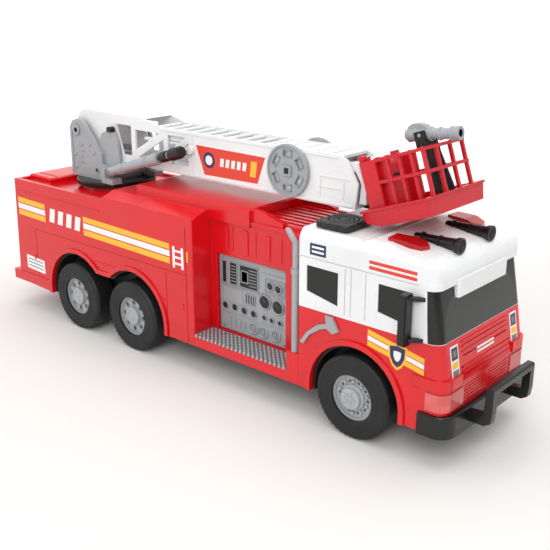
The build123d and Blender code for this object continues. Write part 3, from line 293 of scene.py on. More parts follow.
MATS = {
    "red_shell": plastic("red_shell", (216, 6, 20), 0.2, specular=0.6),
    "white_shell": plastic("white_shell", (232, 233, 234), 0.28, grain=0.000008, corner_shade=0.3),
    "black_trim": plastic("black_trim", (9, 10, 11), 0.3),
    "grey_plastic": plastic("grey_plastic", (160, 164, 168), 0.32, corner_shade=0.4),
    "hub_silver": plastic("hub_silver", (166, 169, 172), 0.32, corner_shade=0.6),
    "basket_crimson": plastic("basket_crimson", (204, 22, 38), 0.26),
    "pan_black": plastic("pan_black", (26, 26, 27), 0.5, grain=0.00005),
    "tyre_black": rubber(),
    "silver_plate": tread_plate(),
    "steel": metal("steel", (190, 190, 192), 0.3),
    "lamp_red": clear("lamp_red", (214, 16, 22), 0.1, 0.3),
    "lens_clear": clear("lens_clear", (255, 118, 116), 0.12, 0.3),
    "dark_window": plastic("dark_window", (12, 12, 13), 0.12, grain=0.000005, corner_shade=0.1),
    "windshield_grey": windshield_glass(),
    "lamp_amber": clear("lamp_amber", (226, 120, 60), 0.14, 0.3),
    "board_green": plastic("board_green", (20, 92, 46), 0.45),
    "cell_case": plastic("cell_case", (40, 42, 90), 0.3),
    "decal_yellow": plastic("decal_yellow", (250, 186, 42), 0.32, round_edge=0, corner_shade=0.1),
    "decal_white": plastic("decal_white", (240, 240, 238), 0.32, round_edge=0, corner_shade=0.1),
    "decal_red": plastic("decal_red", (222, 62, 40), 0.32, round_edge=0, corner_shade=0.1),
    "decal_navy": plastic("decal_navy", (36, 40, 84), 0.32, round_edge=0, corner_shade=0.1),
    "decal_grey": plastic("decal_grey", (120, 122, 126), 0.35, round_edge=0, corner_shade=0.1),
    "panel_black": plastic("panel_black", (20, 21, 22), 0.35, corner_shade=0.1),
    "button_black": plastic("button_black", (20, 21, 22), 0.38),
}
grille_pattern(MATS["button_black"], BUTTON_CENTRE, 3.4)

SLOTS = {entry["node"]: entry["material_slot"] for entry in frame["record"]["subparts"]}
SPECIAL = {"sound_button": "button_black", "windshield": "windshield_grey"}
for name, obj in nodes.items():
    obj.data.materials.clear()
    obj.data.materials.append(MATS[SPECIAL.get(name, SLOTS[name])].material)


# ------------------------------------------------------------------ mesh pieces


class Piece:
    """A mesh gathered from several shapes, in millimetres, that rides on one body."""

    def __init__(self, name, body, slot):
        self.name = name
        self.body = body
        self.slot = slot
        self.verts = []
        self.faces = []
        self.mats = []
        self.index = []

    def material(self, key):
        """Number of a material on this piece, added when it is new."""
        if key not in self.mats:
            self.mats.append(key)
        return self.mats.index(key)

    def shape(self, verts, faces, key, place=None):
        """Add points and faces in one material, moved by a placement when one is given."""
        start = len(self.verts)
        number = self.material(key)
        for v in verts:
            point = Vector(v)
            self.verts.append(place @ point if place is not None else point)
        for face in faces:
            self.faces.append([start + i for i in face])
            self.index.append(number)

    def prism(self, outline, axis, low, high, key, place=None):
        """Extrude an outline along an axis: y takes (x, z), z takes (x, y)."""
        count = len(outline)
        verts = []
        for level in (low, high):
            for u, v in outline:
                verts.append({"y": (u, level, v), "z": (u, v, level)}[axis])
        faces = [list(range(count)), list(range(2 * count - 1, count - 1, -1))]
        for i in range(count):
            j = (i + 1) % count
            faces.append([i, i + count, j + count, j])
        self.shape(verts, faces, key, place)

    def box(self, low, high, key, place=None):
        """Block between two corners."""
        outline = [(low[0], low[1]), (high[0], low[1]), (high[0], high[1]), (low[0], high[1])]
        self.prism(outline, "z", low[2], high[2], key, place)

    def lathe(self, profile, place, key, segments=24):
        """Revolve (radius, height) points about the local Z axis."""
        verts = []
        for k in range(segments):
            angle = 2 * math.pi * k / segments
            for radius, height in profile:
                verts.append((radius * math.cos(angle), radius * math.sin(angle), height))
        faces = []
        count = len(profile)
        for k in range(segments):
            m = (k + 1) % segments
            for i in range(count - 1):
                faces.append([k * count + i, m * count + i, m * count + i + 1, k * count + i + 1])
        self.shape(verts, faces, key, place)

    def build(self, bevel=0.0, smooth=False):
        """Make the mesh, with edges bevelled by so many mm, and hang it on its body."""
        mesh = bpy.data.meshes.new(self.name)
        mesh.from_pydata([v * MM for v in self.verts], [], self.faces)
        mesh.validate()
        for key in self.mats:
            mesh.materials.append(MATS[key].material)
        for polygon, number in zip(mesh.polygons, self.index):
            polygon.material_index = number
            polygon.use_smooth = smooth
        obj = bpy.data.objects.new(self.name, mesh)
        bpy.context.scene.collection.objects.link(obj)
        fix_normals(obj)
        if bevel:
            modifier = obj.modifiers.new("edges", "BEVEL")
            modifier.width = bevel * MM
            modifier.segments = 2
            modifier.limit_method = "ANGLE"
            modifier.angle_limit = math.radians(40)
        if smooth:
            mesh.set_sharp_from_angle(angle=math.radians(35))
        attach(obj, self.body)
        return obj


def fix_normals(obj):
    """Turn every face of a mesh outwards."""
    grid = bmesh.new()
    grid.from_mesh(obj.data)
    bmesh.ops.recalc_face_normals(grid, faces=grid.faces)
    grid.to_mesh(obj.data)
    grid.free()


def at(x, y, z, facing="z"):
    """Placement whose local Z looks along facing."""
    axes = {
        "z": Matrix.Identity(4),
        "y": Matrix.Rotation(-math.pi / 2, 4, "X"),
        "-y": Matrix.Rotation(math.pi / 2, 4, "X"),
        "x": Matrix.Rotation(math.pi / 2, 4, "Y"),
    }
    return Matrix.Translation((x, y, z)) @ axes[facing]


def outward(side):
    """Facing that looks away from the truck on one side."""
    return "y" if side > 0 else "-y"


def span(side, near, far):
    """Lower and higher y of two distances from the middle, on one side."""
    return sorted((side * near, side * far))


def around(k, count, share=0.0):
    """Turn about the local Z axis for the k-th of several pieces in a ring."""
    return Matrix.Rotation(2 * math.pi * (k + share) / count, 4, "Z")


def layer(piece, outline, side, level, key, thick=0.14):
    """Thin film on the truck's side, as an XZ outline at a distance from the middle."""
    piece.prism(outline, "y", side * (level - 0.4), side * (level + thick), key)


def side_name(side):
    """Name of a side as the bodies use it."""
    return "left" if side > 0 else "right"


# ------------------------------------------------------------------ decals on the red body


def band_z(x, share):
    """Height of a line across the rear stripe at x; share 0 is its lower edge, 1 its upper."""
    rear_x, run = -271, 244
    t = (x - rear_x) / run
    low = 107.3 + (102.0 - 107.3) * t
    high = 126.8 + (121.2 - 126.8) * t
    return low + (high - low) * share


def stripe(piece, x0, x1, share0, share1, side, key, slant=0.0):
    """Part of the rear stripe between two x values and two shares of its height."""
    outline = [
        (x0, band_z(x0, share0)),
        (x1, band_z(x1, share0)),
        (x1 + slant, band_z(x1, share1)),
        (x0 + slant, band_z(x0, share1)),
    ]
    layer(piece, outline, side, SIDE_Y, key)


def body_decals():
    """Three-line stripe, slanted bars, ladder mark and a plain ruled label on the red body."""
    piece = Piece("body_decals", "chassis", "red_shell")
    for side in SIDES:
        for x0, x1 in ((-271, -222), (-156, -27)):
            stripe(piece, x0, x1, 0.0, 0.30, side, "decal_yellow")
            stripe(piece, x0, x1, 0.36, 0.66, side, "decal_white")
            stripe(piece, x0, x1, 0.72, 1.0, side, "decal_yellow")
        for index in range(4):
            x = -215 + 14.5 * index
            stripe(piece, x, x + 8.5, 0.12, 0.88, side, "decal_white", 3.0)
        ladder_mark(piece, side)
        layer(piece, [(-264, 47.5), (-231, 46), (-231, 61), (-264, 62.5)], side, SIDE_Y, "decal_white")
        for row in range(3):
            z = 50.6 + 3.8 * row
            line = [(-261, z), (-234, z - 1.0), (-234, z + 0.2), (-261, z + 1.2)]
            layer(piece, line, side, SIDE_Y, "decal_grey", 0.2)
        layer(piece, [(-4.4, 108), (-2.6, 108), (-2.6, 118), (-4.4, 118)], side, SIDE_Y, "decal_yellow")
    return piece.build()


def ladder_mark(piece, side):
    """Plain white ladder pictogram."""
    low, high = 99.5, 120.0
    for x in (-23.0, -11.5):
        upright = [(x, low), (x + 3.0, low), (x + 3.0, high), (x, high)]
        layer(piece, upright, side, SIDE_Y, "decal_white")
    for index in range(3):
        z = low + 3.4 + 6.0 * index
        rung = [(-20.1, z), (-11.4, z), (-11.4, z + 2.0), (-20.1, z + 2.0)]
        layer(piece, rung, side, SIDE_Y, "decal_white")


def cab_decals():
    """Sloping stripe, shield, barred badge and two lines on the cab's sides."""
    piece = Piece("cab_decals", "chassis", "red_shell")
    for side in SIDES:
        for share0, share1, key in (
            (0.0, 0.3, "decal_yellow"),
            (0.36, 0.64, "decal_white"),
            (0.7, 1.0, "decal_yellow"),
        ):
            outline = []
            for x, share in ((197, share0), (248, share0), (248, share1), (197, share1)):
                t = (x - 197) / 51
                low = 84.0 + (74.0 - 84.0) * t
                outline.append((x, low + 13.5 * share))
            layer(piece, outline, side, SIDE_Y, key)
        shield(piece, 224.5, 83.0, 8.6, side, SIDE_Y)
        badge = [(139, 145.5), (155, 145.5), (155, 155.0), (139, 155.0)]
        layer(piece, badge, side, SIDE_Y, "decal_navy")
        for low, high in ((147.5, 149.3), (151.2, 153.0)):
            bar = [(141, low), (153, low), (153, high), (141, high)]
            layer(piece, bar, side, SIDE_Y, "decal_white", 0.2)
        for z in (145.6, 150.0):
            line = [(196, z), (238, z - 0.4), (238, z + 2.2), (196, z + 2.6)]
            layer(piece, line, side, SIDE_Y, "decal_red")
    return piece.build()


def shield(piece, x, z, half, side, level):
    """Plain shield with a light rim."""
    rings = ((1.0, "decal_yellow", 0.2), (0.8, "decal_navy", 0.26), (0.4, "decal_white", 0.32))
    for scale, key, thick in rings:
        h = half * scale
        outline = [
            (x - h, z + h), (x, z + 1.18 * h), (x + h, z + h), (x + 0.92 * h, z - 0.2 * h),
            (x + 0.5 * h, z - h), (x, z - 1.35 * h), (x - 0.5 * h, z - h), (x - 0.92 * h, z - 0.2 * h),
        ]
        layer(piece, outline, side, level, key, thick)


def boom_decals():
    """Sticker on the boom's sides: a red field with a light rim and plain bars."""
    piece = Piece("boom_decals", "boom", "white_shell")
    for side in SIDES:
        for grow, key, thick in ((0.0, "decal_white", 0.14), (0.7, "decal_red", 0.2)):
            outline = [
                (-25 + grow, 178 + grow), (43.0 - grow, 179 + grow),
                (52.5 - 1.4 * grow, 205 - grow), (-36 + 1.4 * grow, 206 - grow),
            ]
            layer(piece, outline, side, BOOM_Y, key, thick)
        for x in (-4.0, 3.0, 10.0, 17.0, 24.0):
            bar = [(x, 189), (x + 4.4, 189), (x + 5.4, 196.5), (x + 1.0, 196.5)]
            layer(piece, bar, side, BOOM_Y, "decal_white", 0.26)
        layer(piece, [(33, 185), (40, 185), (42, 199), (35, 199)], side, BOOM_Y, "decal_yellow", 0.26)
        layer(piece, circle(-18, 193, 7.5), side, BOOM_Y, "decal_navy", 0.26)
        layer(piece, circle(-18, 193, 4.5), side, BOOM_Y, "decal_white", 0.32)
    return piece.build()


def circle(x, z, radius, count=20):
    """Round outline as XZ points."""
    angles = [2 * math.pi * k / count for k in range(count)]
    return [(x + radius * math.cos(a), z + radius * math.sin(a)) for a in angles]


# ------------------------------------------------------------------ pump panel


def pump_panel_detail():
    """Vents, slots, ports, gauges, hand wheels, keys, seams and screws on the two pump panels."""
    piece = Piece("pump_panel_detail", "chassis", "grey_plastic")
    for side in SIDES:
        face = side * PANEL_Y
        out = outward(side)
        for x0, x1, slats in ((13.5, 18.5, 0), (23.0, 31.5, 6), (35.5, 57.0, 6)):
            frame_box(piece, x0, 87.0, x1, 107.5, face, side)
            for index in range(slats):
                z = 89.6 + 2.9 * index
                start = x0 + 1.2 if x1 < 40 else 46.6
                low, high = sorted((face + side * 0.2, face + side * 0.8))
                piece.box((start, low, z), (x1 - 1.2, high, z + 0.6), "grey_plastic")
        frame_box(piece, 37.6, 92.0, 45.0, 102.0, face, side)
        for index in range(4):
            frame_box(piece, 42.6 + 3.0 * index, 72.5, 44.2 + 3.0 * index, 81.0, face, side)
        border(piece, (66.5, 89.0, 88.0, 101.0), face, side, 0.7, 0.7)
        border(piece, (13.5, 68.5, 38.0, 83.0), face, side, 0.5, 0.4)
        for x, z in ((16.6, 64.6), (28.6, 65.0), (40.4, 64.4), (52.0, 64.2)):
            port(piece, x, face, z, 4.0, out)
        for x, z, r in ((65.8, 79.0, 7.0), (81.2, 77.6, 7.0), (72.3, 95.4, 4.4), (81.6, 94.6, 4.4)):
            gauge(piece, x, face, z, r, out)
        for x, z in ((65.0, 64.0), (73.8, 63.4), (83.4, 63.2)):
            port(piece, x, face, z, 3.0, out)
        for x, z in ((52.0, 50.0), (64.0, 49.4), (79.0, 50.0)):
            dial(piece, x, face, z, 5.6, out)
        for x in (20.0, 26.0, 32.0, 38.0):
            low, high = sorted((face, face + side * 0.6))
            piece.box((x, low, 46.5), (x + 3.6, high, 54.0), "grey_plastic")
        seams = ((12.5, 62.0, 84.6), (12.5, 90.0, 57.6), (62.0, 90.0, 86.2), (62.0, 90.0, 105.5))
        for x0, x1, z in seams:
            low, high = sorted((face - side * 0.1, face + side * 0.5))
            piece.box((x0, low, z), (x1, high, z + 0.7), "grey_plastic")
        for x, z in ((15, 110), (88, 110), (15, 44), (88, 44), (60.5, 85.5)):
            piece.lathe([(1.1, -0.1), (1.1, 0.6), (0.0, 0.9)], at(x, face, z, out), "steel", 10)
        border(piece, (11.5, 42.6, 90.6, 112.5), face, side)
    return piece.build(bevel=0.15)


def frame_box(piece, x0, z0, x1, z1, face, side):
    """Black block as painted shade in a recess, with a raised grey frame."""
    low, high = sorted((face - side * 0.3, face + side * 0.25))
    # Painted shade: the black block stands for the shade inside the recess.
    piece.box((x0, low, z0), (x1, high, z1), "panel_black")
    border(piece, (x0, z0, x1, z1), face, side)


def border(piece, rect, face, side, wide=0.8, tall=1.1):
    """Raised grey frame around a rectangle (x0, z0, x1, z1)."""
    x0, z0, x1, z1 = rect
    low, high = sorted((face - side * 0.2, face + side * tall))
    piece.box((x0 - wide, low, z0 - wide), (x0, high, z1 + wide), "grey_plastic")
    piece.box((x1, low, z0 - wide), (x1 + wide, high, z1 + wide), "grey_plastic")
    piece.box((x0, low, z0 - wide), (x1, high, z0), "grey_plastic")
    piece.box((x0, low, z1), (x1, high, z1 + wide), "grey_plastic")


def port(piece, x, y, z, r, out):
    """Hose port: black disc as the painted shade of the bore, in a raised ring."""
    place = at(x, y, z, out)
    piece.lathe([(r, -0.2), (r, 1.0), (r - 0.4, 1.3), (r - 0.9, 1.1), (r - 0.9, 0.9)], place, "grey_plastic")
    # Painted shade: a black disc stands for the shade inside the bore.
    piece.lathe([(r - 0.9, 1.0), (0.0, 1.0)], place, "panel_black")


def gauge(piece, x, y, z, r, out):
    """Round gauge: bezel, black face and a few plain ticks."""
    place = at(x, y, z, out)
    piece.lathe([(r, -0.2), (r, 1.7), (r - 0.5, 2.1), (r - 1.2, 1.5), (r - 1.2, 0.95)], place, "grey_plastic")
    piece.lathe([(r - 1.2, 1.0), (0.0, 1.0)], place, "panel_black")
    for k in range(7):
        angle = math.radians(-30 + 40 * k)
        mark = place @ Matrix.Rotation(angle, 4, "Z")
        piece.box((r - 2.0, -0.15, 1.0), (r - 1.4, 0.15, 1.1), "decal_grey", mark)
    needle = place @ Matrix.Rotation(math.radians(130), 4, "Z")
    piece.box((-0.6, -0.15, 1.1), (r - 2.4, 0.15, 1.3), "decal_grey", needle)


def dial(piece, x, y, z, r, out):
    """Small hand wheel: rim, hub and spokes."""
    place = at(x, y, z, out)
    piece.lathe([(r, 0.0), (r, 1.0), (r - 0.7, 1.4), (r - 1.2, 0.9), (r - 1.2, 0.0)], place, "grey_plastic")
    piece.lathe([(1.2, 0.0), (1.2, 1.6), (0.0, 1.8)], place, "grey_plastic", 12)
    for k in range(4):
        spoke = place @ Matrix.Rotation(k * math.pi / 2, 4, "Z")
        piece.box((1.0, -0.35, 0.0), (r - 0.9, 0.35, 1.0), "grey_plastic", spoke)


# ------------------------------------------------------------------ wheels


def wheel_detail(axle, x):
    """Tread lugs, sidewall rings and hub relief on both wheels of one axle."""
    piece = Piece(f"{axle}_wheel_detail", f"{axle}_wheels", "tyre_black")
    for side in SIDES:
        out = outward(side)
        for radius in (31.5, 24.5):
            ring = [(radius + 0.7, -0.5), (radius + 0.4, 0.15), (radius - 0.4, 0.15), (radius - 0.7, -0.5)]
            piece.lathe(ring, at(x, side * TYRE_Y, AXLE_Z, out), "tyre_black", 64)
        hub = at(x, side * HUB_Y, AXLE_Z, out)
        if axle == "front":
            domed_hub(piece, hub)
        else:
            holed_hub(piece, hub)
        centre = Matrix.Translation((x, side * LUG_Y, AXLE_Z))
        for k in range(44):
            lug = centre @ Matrix.Rotation(2 * math.pi * k / 44, 4, "Y")
            piece.box((32.4, -0.5, -0.8), (34.2, 0.5, 0.8), "tyre_black", lug)
    return piece.build(smooth=True)


def domed_hub(piece, hub):
    """Ten nuts, a ribbed dome and a rim step on a front hub."""
    bolt = Matrix.Translation((BOLT_RADIUS, 0, 0))
    for k in range(10):
        nut = [(1.6, -0.2), (1.6, 1.4), (1.0, 2.0), (0.0, 2.0)]
        piece.lathe(nut, hub @ around(k, 10, 0.5) @ bolt, "hub_silver", 6)
    dome = [(9.0, 5.4), (8.2, 5.9), (5.0, 6.0), (4.6, 5.4), (2.0, 5.4), (0.0, 5.6)]
    piece.lathe(dome, hub, "hub_silver", 32)
    for k in range(5):
        piece.box((2.0, -0.6, 5.2), (7.8, 0.6, 6.2), "hub_silver", hub @ around(k, 5))
    piece.lathe([(11.2, -0.1), (10.6, 1.6), (9.0, 2.4)], hub, "hub_silver", 40)


def holed_hub(piece, hub):
    """Eight holes with black discs in them as painted shade, with rims, and a stepped cap on a rear or middle
    hub.
    """
    bolt = Matrix.Translation((BOLT_RADIUS, 0, 0))
    for k in range(8):
        spot = hub @ around(k, 8) @ bolt
        # Painted shade: a black disc at the bottom of each hole.
        piece.lathe([(2.1, -1.6), (0.0, -1.6)], spot, "panel_black", 14)
        piece.lathe([(2.9, -0.1), (2.7, 0.5), (2.2, 0.5), (2.1, -0.6)], spot, "hub_silver", 18)
    cap = [(8.6, 3.0), (8.0, 3.5), (6.2, 3.5), (5.8, 2.9), (3.0, 2.9), (2.4, 3.6), (0.0, 3.7)]
    piece.lathe(cap, hub, "hub_silver", 32)


# ------------------------------------------------------------------ cab, bumper and lamps


def fascia_detail():
    """Louvres, ribs, plain badges and lamp inners on the truck's face."""
    piece = Piece("fascia_detail", "chassis", "red_shell")
    for index in range(5):
        z = 50.0 + 2.6 * index
        for low, high in ((-34.0, -3.0), (3.0, 34.0)):
            piece.box((265.6, low, z), (267.1, high, z + 1.2), "red_shell")
    for side in SIDES:
        low, high = span(side, 41.0, 55.0)
        piece.box((262.4, low, 49.0), (264.2, high, 60.5), "lens_clear")
        for y in (45.0, 51.0):
            place = at(264.0, side * y, 55.0, "x")
            piece.lathe([(2.6, 0.0), (2.4, 0.7), (1.2, 0.35), (0.0, 0.3)], place, "hub_silver", 20)
        low, high = span(side, 60.8, 63.0)
        piece.box((253.5, low, 50.0), (258.5, high, 59.5), "lamp_amber")
        slope_badge(piece, side)
    for z in (80.5, 83.5):
        slab(piece, -13.0, 13.0, z, z + 1.5, "decal_white", 0.25)
    for y0, y1 in ((-56, -36), (36, 56)):
        slab(piece, y0, y1, 68.0, 68.8, "red_shell", 0.5)
    for z in (67.5, 71.5, 75.5, 87.5, 91.5, 95.0):
        slab(piece, -35.0, 35.0, z, z + 1.4, "red_shell", 0.9)
    return piece.build(bevel=0.12)


def face_x(z):
    """X of the lower cab's front at a height: upright, then leaning back above the lamps."""
    upright_x, bend_z, top_z, lean = 266.5, 64, 99.8, 6.2
    return upright_x if z <= bend_z else upright_x - lean * (z - bend_z) / (top_z - bend_z)


def slab(piece, y0, y1, z0, z1, key, thick):
    """Thin block on the sloping face between two y values and two heights."""
    verts = []
    for y in (y0, y1):
        for z in (z0, z1):
            verts.append((face_x(z) - 0.4, y, z))
            verts.append((face_x(z) + thick, y, z))
    faces = [[0, 1, 3, 2], [4, 6, 7, 5], [0, 4, 5, 1], [2, 3, 7, 6], [1, 5, 7, 3], [0, 2, 6, 4]]
    piece.shape(verts, faces, key)


def slope_badge(piece, side):
    """Upright plain label beside the grille: a light field with a dark and a warm block."""
    low, high = span(side, 40.5, 51.5)
    slab(piece, low, high, 71.0, 96.0, "decal_white", 0.2)
    slab(piece, low + 1.2, high - 1.2, 85.0, 94.6, "decal_navy", 0.28)
    slab(piece, low + 3.4, high - 3.4, 87.4, 92.2, "decal_grey", 0.34)
    slab(piece, low + 1.2, high - 1.2, 78.6, 83.6, "decal_yellow", 0.28)
    slab(piece, low + 1.2, high - 1.2, 72.4, 77.4, "decal_grey", 0.28)


def roof_detail():
    """Bulbs inside the roof lamps, and mouths and rings on the horns."""
    piece = Piece("roof_detail", "chassis", "white_shell")
    for side in SIDES:
        for x in (209.0, 220.0):
            bulb = at(x, side * LAMP_Y, LAMP_Z)
            piece.lathe([(3.4, 0.0), (3.4, 2.2), (0.0, 3.0)], bulb, "lamp_red", 16)
        bell = at(247.0, side * HORN_Y, HORN_Z, "x")
        piece.lathe([(4.9, 2.3), (3.4, 0.2), (2.0, -1.2), (0.0, -1.4)], bell, "panel_black", 28)
        for x in (216.0, 231.0):
            ring = at(x, side * HORN_Y, HORN_Z, "x")
            piece.lathe([(4.1, -0.8), (5.0, -0.6), (5.0, 0.6), (4.4, 0.8)], ring, "black_trim", 24)
    return piece.build(smooth=True)


def mirror_detail():
    """Mirror glass behind and a raised back in front of both mirror housings."""
    piece = Piece("mirror_detail", "chassis", "black_trim")
    for side in SIDES:
        low, high = span(side, 68.4, 75.2)
        piece.box((230.9, low, 101.0), (231.7, high, 133.0), "steel")
        low, high = span(side, 67.6, 76.0)
        piece.box((236.8, low, 99.0), (237.6, high, 135.0), "black_trim")
    return piece.build(bevel=0.4)


# ------------------------------------------------------------------ rear, deck and body


def rear_detail():
    """Roller door, lamps and grab rails on the plain back of the body, by the maker's judgement."""
    piece = Piece("rear_detail", "chassis", "red_shell")
    slope = math.atan2(4.5, 101.5)
    lean = Matrix.Translation((-279.0, 0, 45)) @ Matrix.Rotation(slope, 4, "Y")
    for index in range(11):
        z = 6.0 + 6.6 * index
        piece.box((-0.7, -34, z), (0.4, 34, z + 5.6), "red_shell", lean)
    for low, high in ((-38, -35.2), (35.2, 38)):
        piece.box((-1.6, low, 2.0), (0.4, high, 82.0), "red_shell", lean)
    for side in SIDES:
        for z, key in ((18.0, "lamp_red"), (30.0, "lamp_amber"), (42.0, "lens_clear")):
            low, high = span(side, 46.0, 57.0)
            piece.box((-1.8, low, z), (0.4, high, z + 9.0), key, lean)
        rail = lean @ Matrix.Translation((-3.0, side * 51.5, 60.0))
        piece.lathe([(1.3, 0), (1.3, 26)], rail, "grey_plastic", 12)
        for z in (0.0, 25.0):
            low, high = span(side, 50.4, 52.6)
            piece.box((-3.6, low, 60.0 + z), (0.4, high, 61.6 + z), "grey_plastic", lean)
    return piece.build(bevel=0.25)


def body_detail():
    """Flap frame, hinges, rail and upright ribs on the body's sides, and edges on the rear hatch."""
    piece = Piece("body_detail", "chassis", "red_shell")
    for side in SIDES:
        low, high = span(side, 63.8, 64.7)
        piece.box((-150.0, low, 80.0), (-108.0, high, 81.2), "red_shell")
        piece.box((-150.0, low, 74.0), (-148.8, high, 80.0), "red_shell")
        piece.box((-109.2, low, 74.0), (-108.0, high, 80.0), "red_shell")
        for x in (-248.0, -40.0, -12.0):
            piece.box((x, low, 60.0), (x + 2.2, high, 66.0), "red_shell")
        piece.box((-270.0, low, 133.6), (-128.0, high, 134.8), "red_shell")
        for x in (20.0, 44.0, 70.0, 98.0):
            inner, outer = span(side, 38.9, 39.9)
            piece.box((x, inner, 119.0), (x + 5.0, outer, 142.0), "red_shell")
    for y in (-40.0, 39.0):
        piece.box((-262.0, y, 150.4), (-231.0, y + 1.0, 151.0), "red_shell")
    return piece.build(bevel=0.25)


# ------------------------------------------------------------------ ladder


def yoke_detail():
    """Bolt heads, ribs, washers and eyes on the yoke's cheeks, and ticks on the turntable."""
    piece = Piece("yoke_detail", "turntable", "grey_plastic")
    bolts = ((-210, 206, 1.5), (-186, 188, 1.6), (-180, 180, 1.6), (-211, 176, 1.6), (-211, 162, 1.6))
    for side in SIDES:
        out = outward(side)
        for x, z, r in bolts:
            head = [(r, -0.2), (r, 0.9), (r * 0.6, 1.3), (0.0, 1.3)]
            piece.lathe(head, at(x, side * YOKE_Y, z, out), "grey_plastic", 12)
        hinge = at(BOOM_HINGE[0], side * YOKE_Y, BOOM_HINGE[1], out)
        washer = [(5.6, 1.2), (5.6, 1.9), (3.2, 2.2), (2.6, 1.4), (0.0, 1.4)]
        piece.lathe(washer, hinge, "grey_plastic", 24)
        low, high = span(side, 26.8, 27.9)
        piece.box((-216, low, 158), (-214.6, high, 200), "grey_plastic")
        piece.box((-207, low, 168), (-198, high, 169.4), "grey_plastic")
        piece.box((-207, low, 174), (-198, high, 175.4), "grey_plastic")
        for x, z in ((-204.5, 186), (-203, 180)):
            piece.box((x, low, z), (x + 7, high, z + 1.4), "grey_plastic")
        eye = at(-176, side * YOKE_Y, 163, out)
        piece.lathe([(3.2, -0.1), (3.2, 0.8), (2.2, 0.8), (2.2, 0.1)], eye, "grey_plastic", 20)
        # Painted shade: a black disc stands for the shade inside the eye.
        piece.lathe([(2.2, 0.12), (0.0, 0.12)], eye, "panel_black", 20)
    for k in range(24):
        place = Matrix.Translation((TURNTABLE_X, 0, 0)) @ around(k, 24)
        piece.box((38.5, -0.5, 152.6), (40.4, 0.5, 153.3), "black_trim", place)
    return piece.build(bevel=0.2)


def boom_detail():
    """Raised frames, seams and hinge bosses on the boom's sides, and bars on its top."""
    piece = Piece("boom_detail", "boom", "white_shell")
    raised = (
        (-200, 175.0, 146, 177.0), (-84, 213.6, 130, 215.4), (112, 181, 113, 197),
        (112, 197, 142, 198), (136, 181, 137.4, 195), (112, 188, 134, 188.8),
    )
    for side in SIDES:
        low, high = span(side, 18.8, 19.6)
        for x0, z0, x1, z1 in raised:
            piece.box((x0, low, z0), (x1, high, z1), "white_shell")
        for x in (-40.5, 60.0):
            piece.box((x, low, 178), (x + 1.2, high, 213), "white_shell")
        boss = at(BOOM_HINGE[0], side * BOOM_Y, BOOM_HINGE[1], outward(side))
        piece.lathe([(6.5, -0.2), (6.5, 1.0), (5.6, 1.4), (4.4, 1.4)], boss, "white_shell", 28)
    for x in (56, 72, 88, 104, 120):
        piece.box((x, -14, 216.0), (x + 1.2, 14, 216.8), "white_shell")
    return piece.build(bevel=0.2)


def crank_detail():
    """Rim steps, slot frames and square sockets, with black squares as their painted shade, on both hand
    wheels.
    """
    piece = Piece("crank_detail", "crank", "grey_plastic")
    for side in SIDES:
        out = outward(side)
        place = at(CRANK[0], side * CRANK[1], CRANK[2], out)
        piece.lathe([(22.6, -0.6), (22.4, 0.5), (20.9, 0.5), (20.6, -0.7)], place, "grey_plastic", 56)
        for k in range(6):
            spot = place @ around(k, 6, 0.5)
            for r in (11.6, 17.0):
                piece.box((r, -4.9, -0.9), (r + 0.7, 4.9, 0.3), "grey_plastic", spot)
            for y in (-4.9, 4.3):
                piece.box((11.6, y, -0.9), (17.7, y + 0.6, 0.3), "grey_plastic", spot)
        # Painted shade: a thin black square stands for the shade inside the socket.
        piece.box((-2.6, -2.6, 0.8), (2.6, 2.6, 1.0), "panel_black", place)
    return piece.build(bevel=0.15)


def ram_detail():
    """Rings on the barrels and rods of both rams."""
    pitch = math.pi / 2 - math.atan2(RAM_RISE, RAM_RUN)
    for side in SIDES:
        name = side_name(side)
        foot = Matrix.Translation((RAM_FOOT[0], side * RAM_FOOT[1], RAM_FOOT[2]))
        base = foot @ Matrix.Rotation(pitch, 4, "Y")
        barrel = Piece(f"ram_rings_{name}", f"ram_{name}", "grey_plastic")
        for t in (20.0, 58.0, 66.0, 72.0):
            ring = [(4.8, t - 1.0), (6.0, t - 0.7), (6.0, t + 0.7), (4.8, t + 1.0)]
            barrel.lathe(ring, base, "grey_plastic", 24)
        barrel.build(smooth=True)
        rod = Piece(f"piston_rings_{name}", f"piston_{name}", "black_trim")
        for t in (97.0, 101.0, 105.0):
            ring = [(5.6, t - 0.8), (6.1, t - 0.5), (6.1, t + 0.5), (5.6, t + 0.8)]
            rod.lathe(ring, base, "black_trim", 24)
        rod.lathe([(4.3, 90.6), (4.4, 91.0), (4.3, 91.6)], base, "steel", 24)
        rod.build(smooth=True)


def basket_place():
    """Placement of the nose-up basket's own frame."""
    return Matrix.Translation(BASKET_ORIGIN) @ Matrix.Rotation(-math.radians(BASKET_PITCH), 4, "Y")


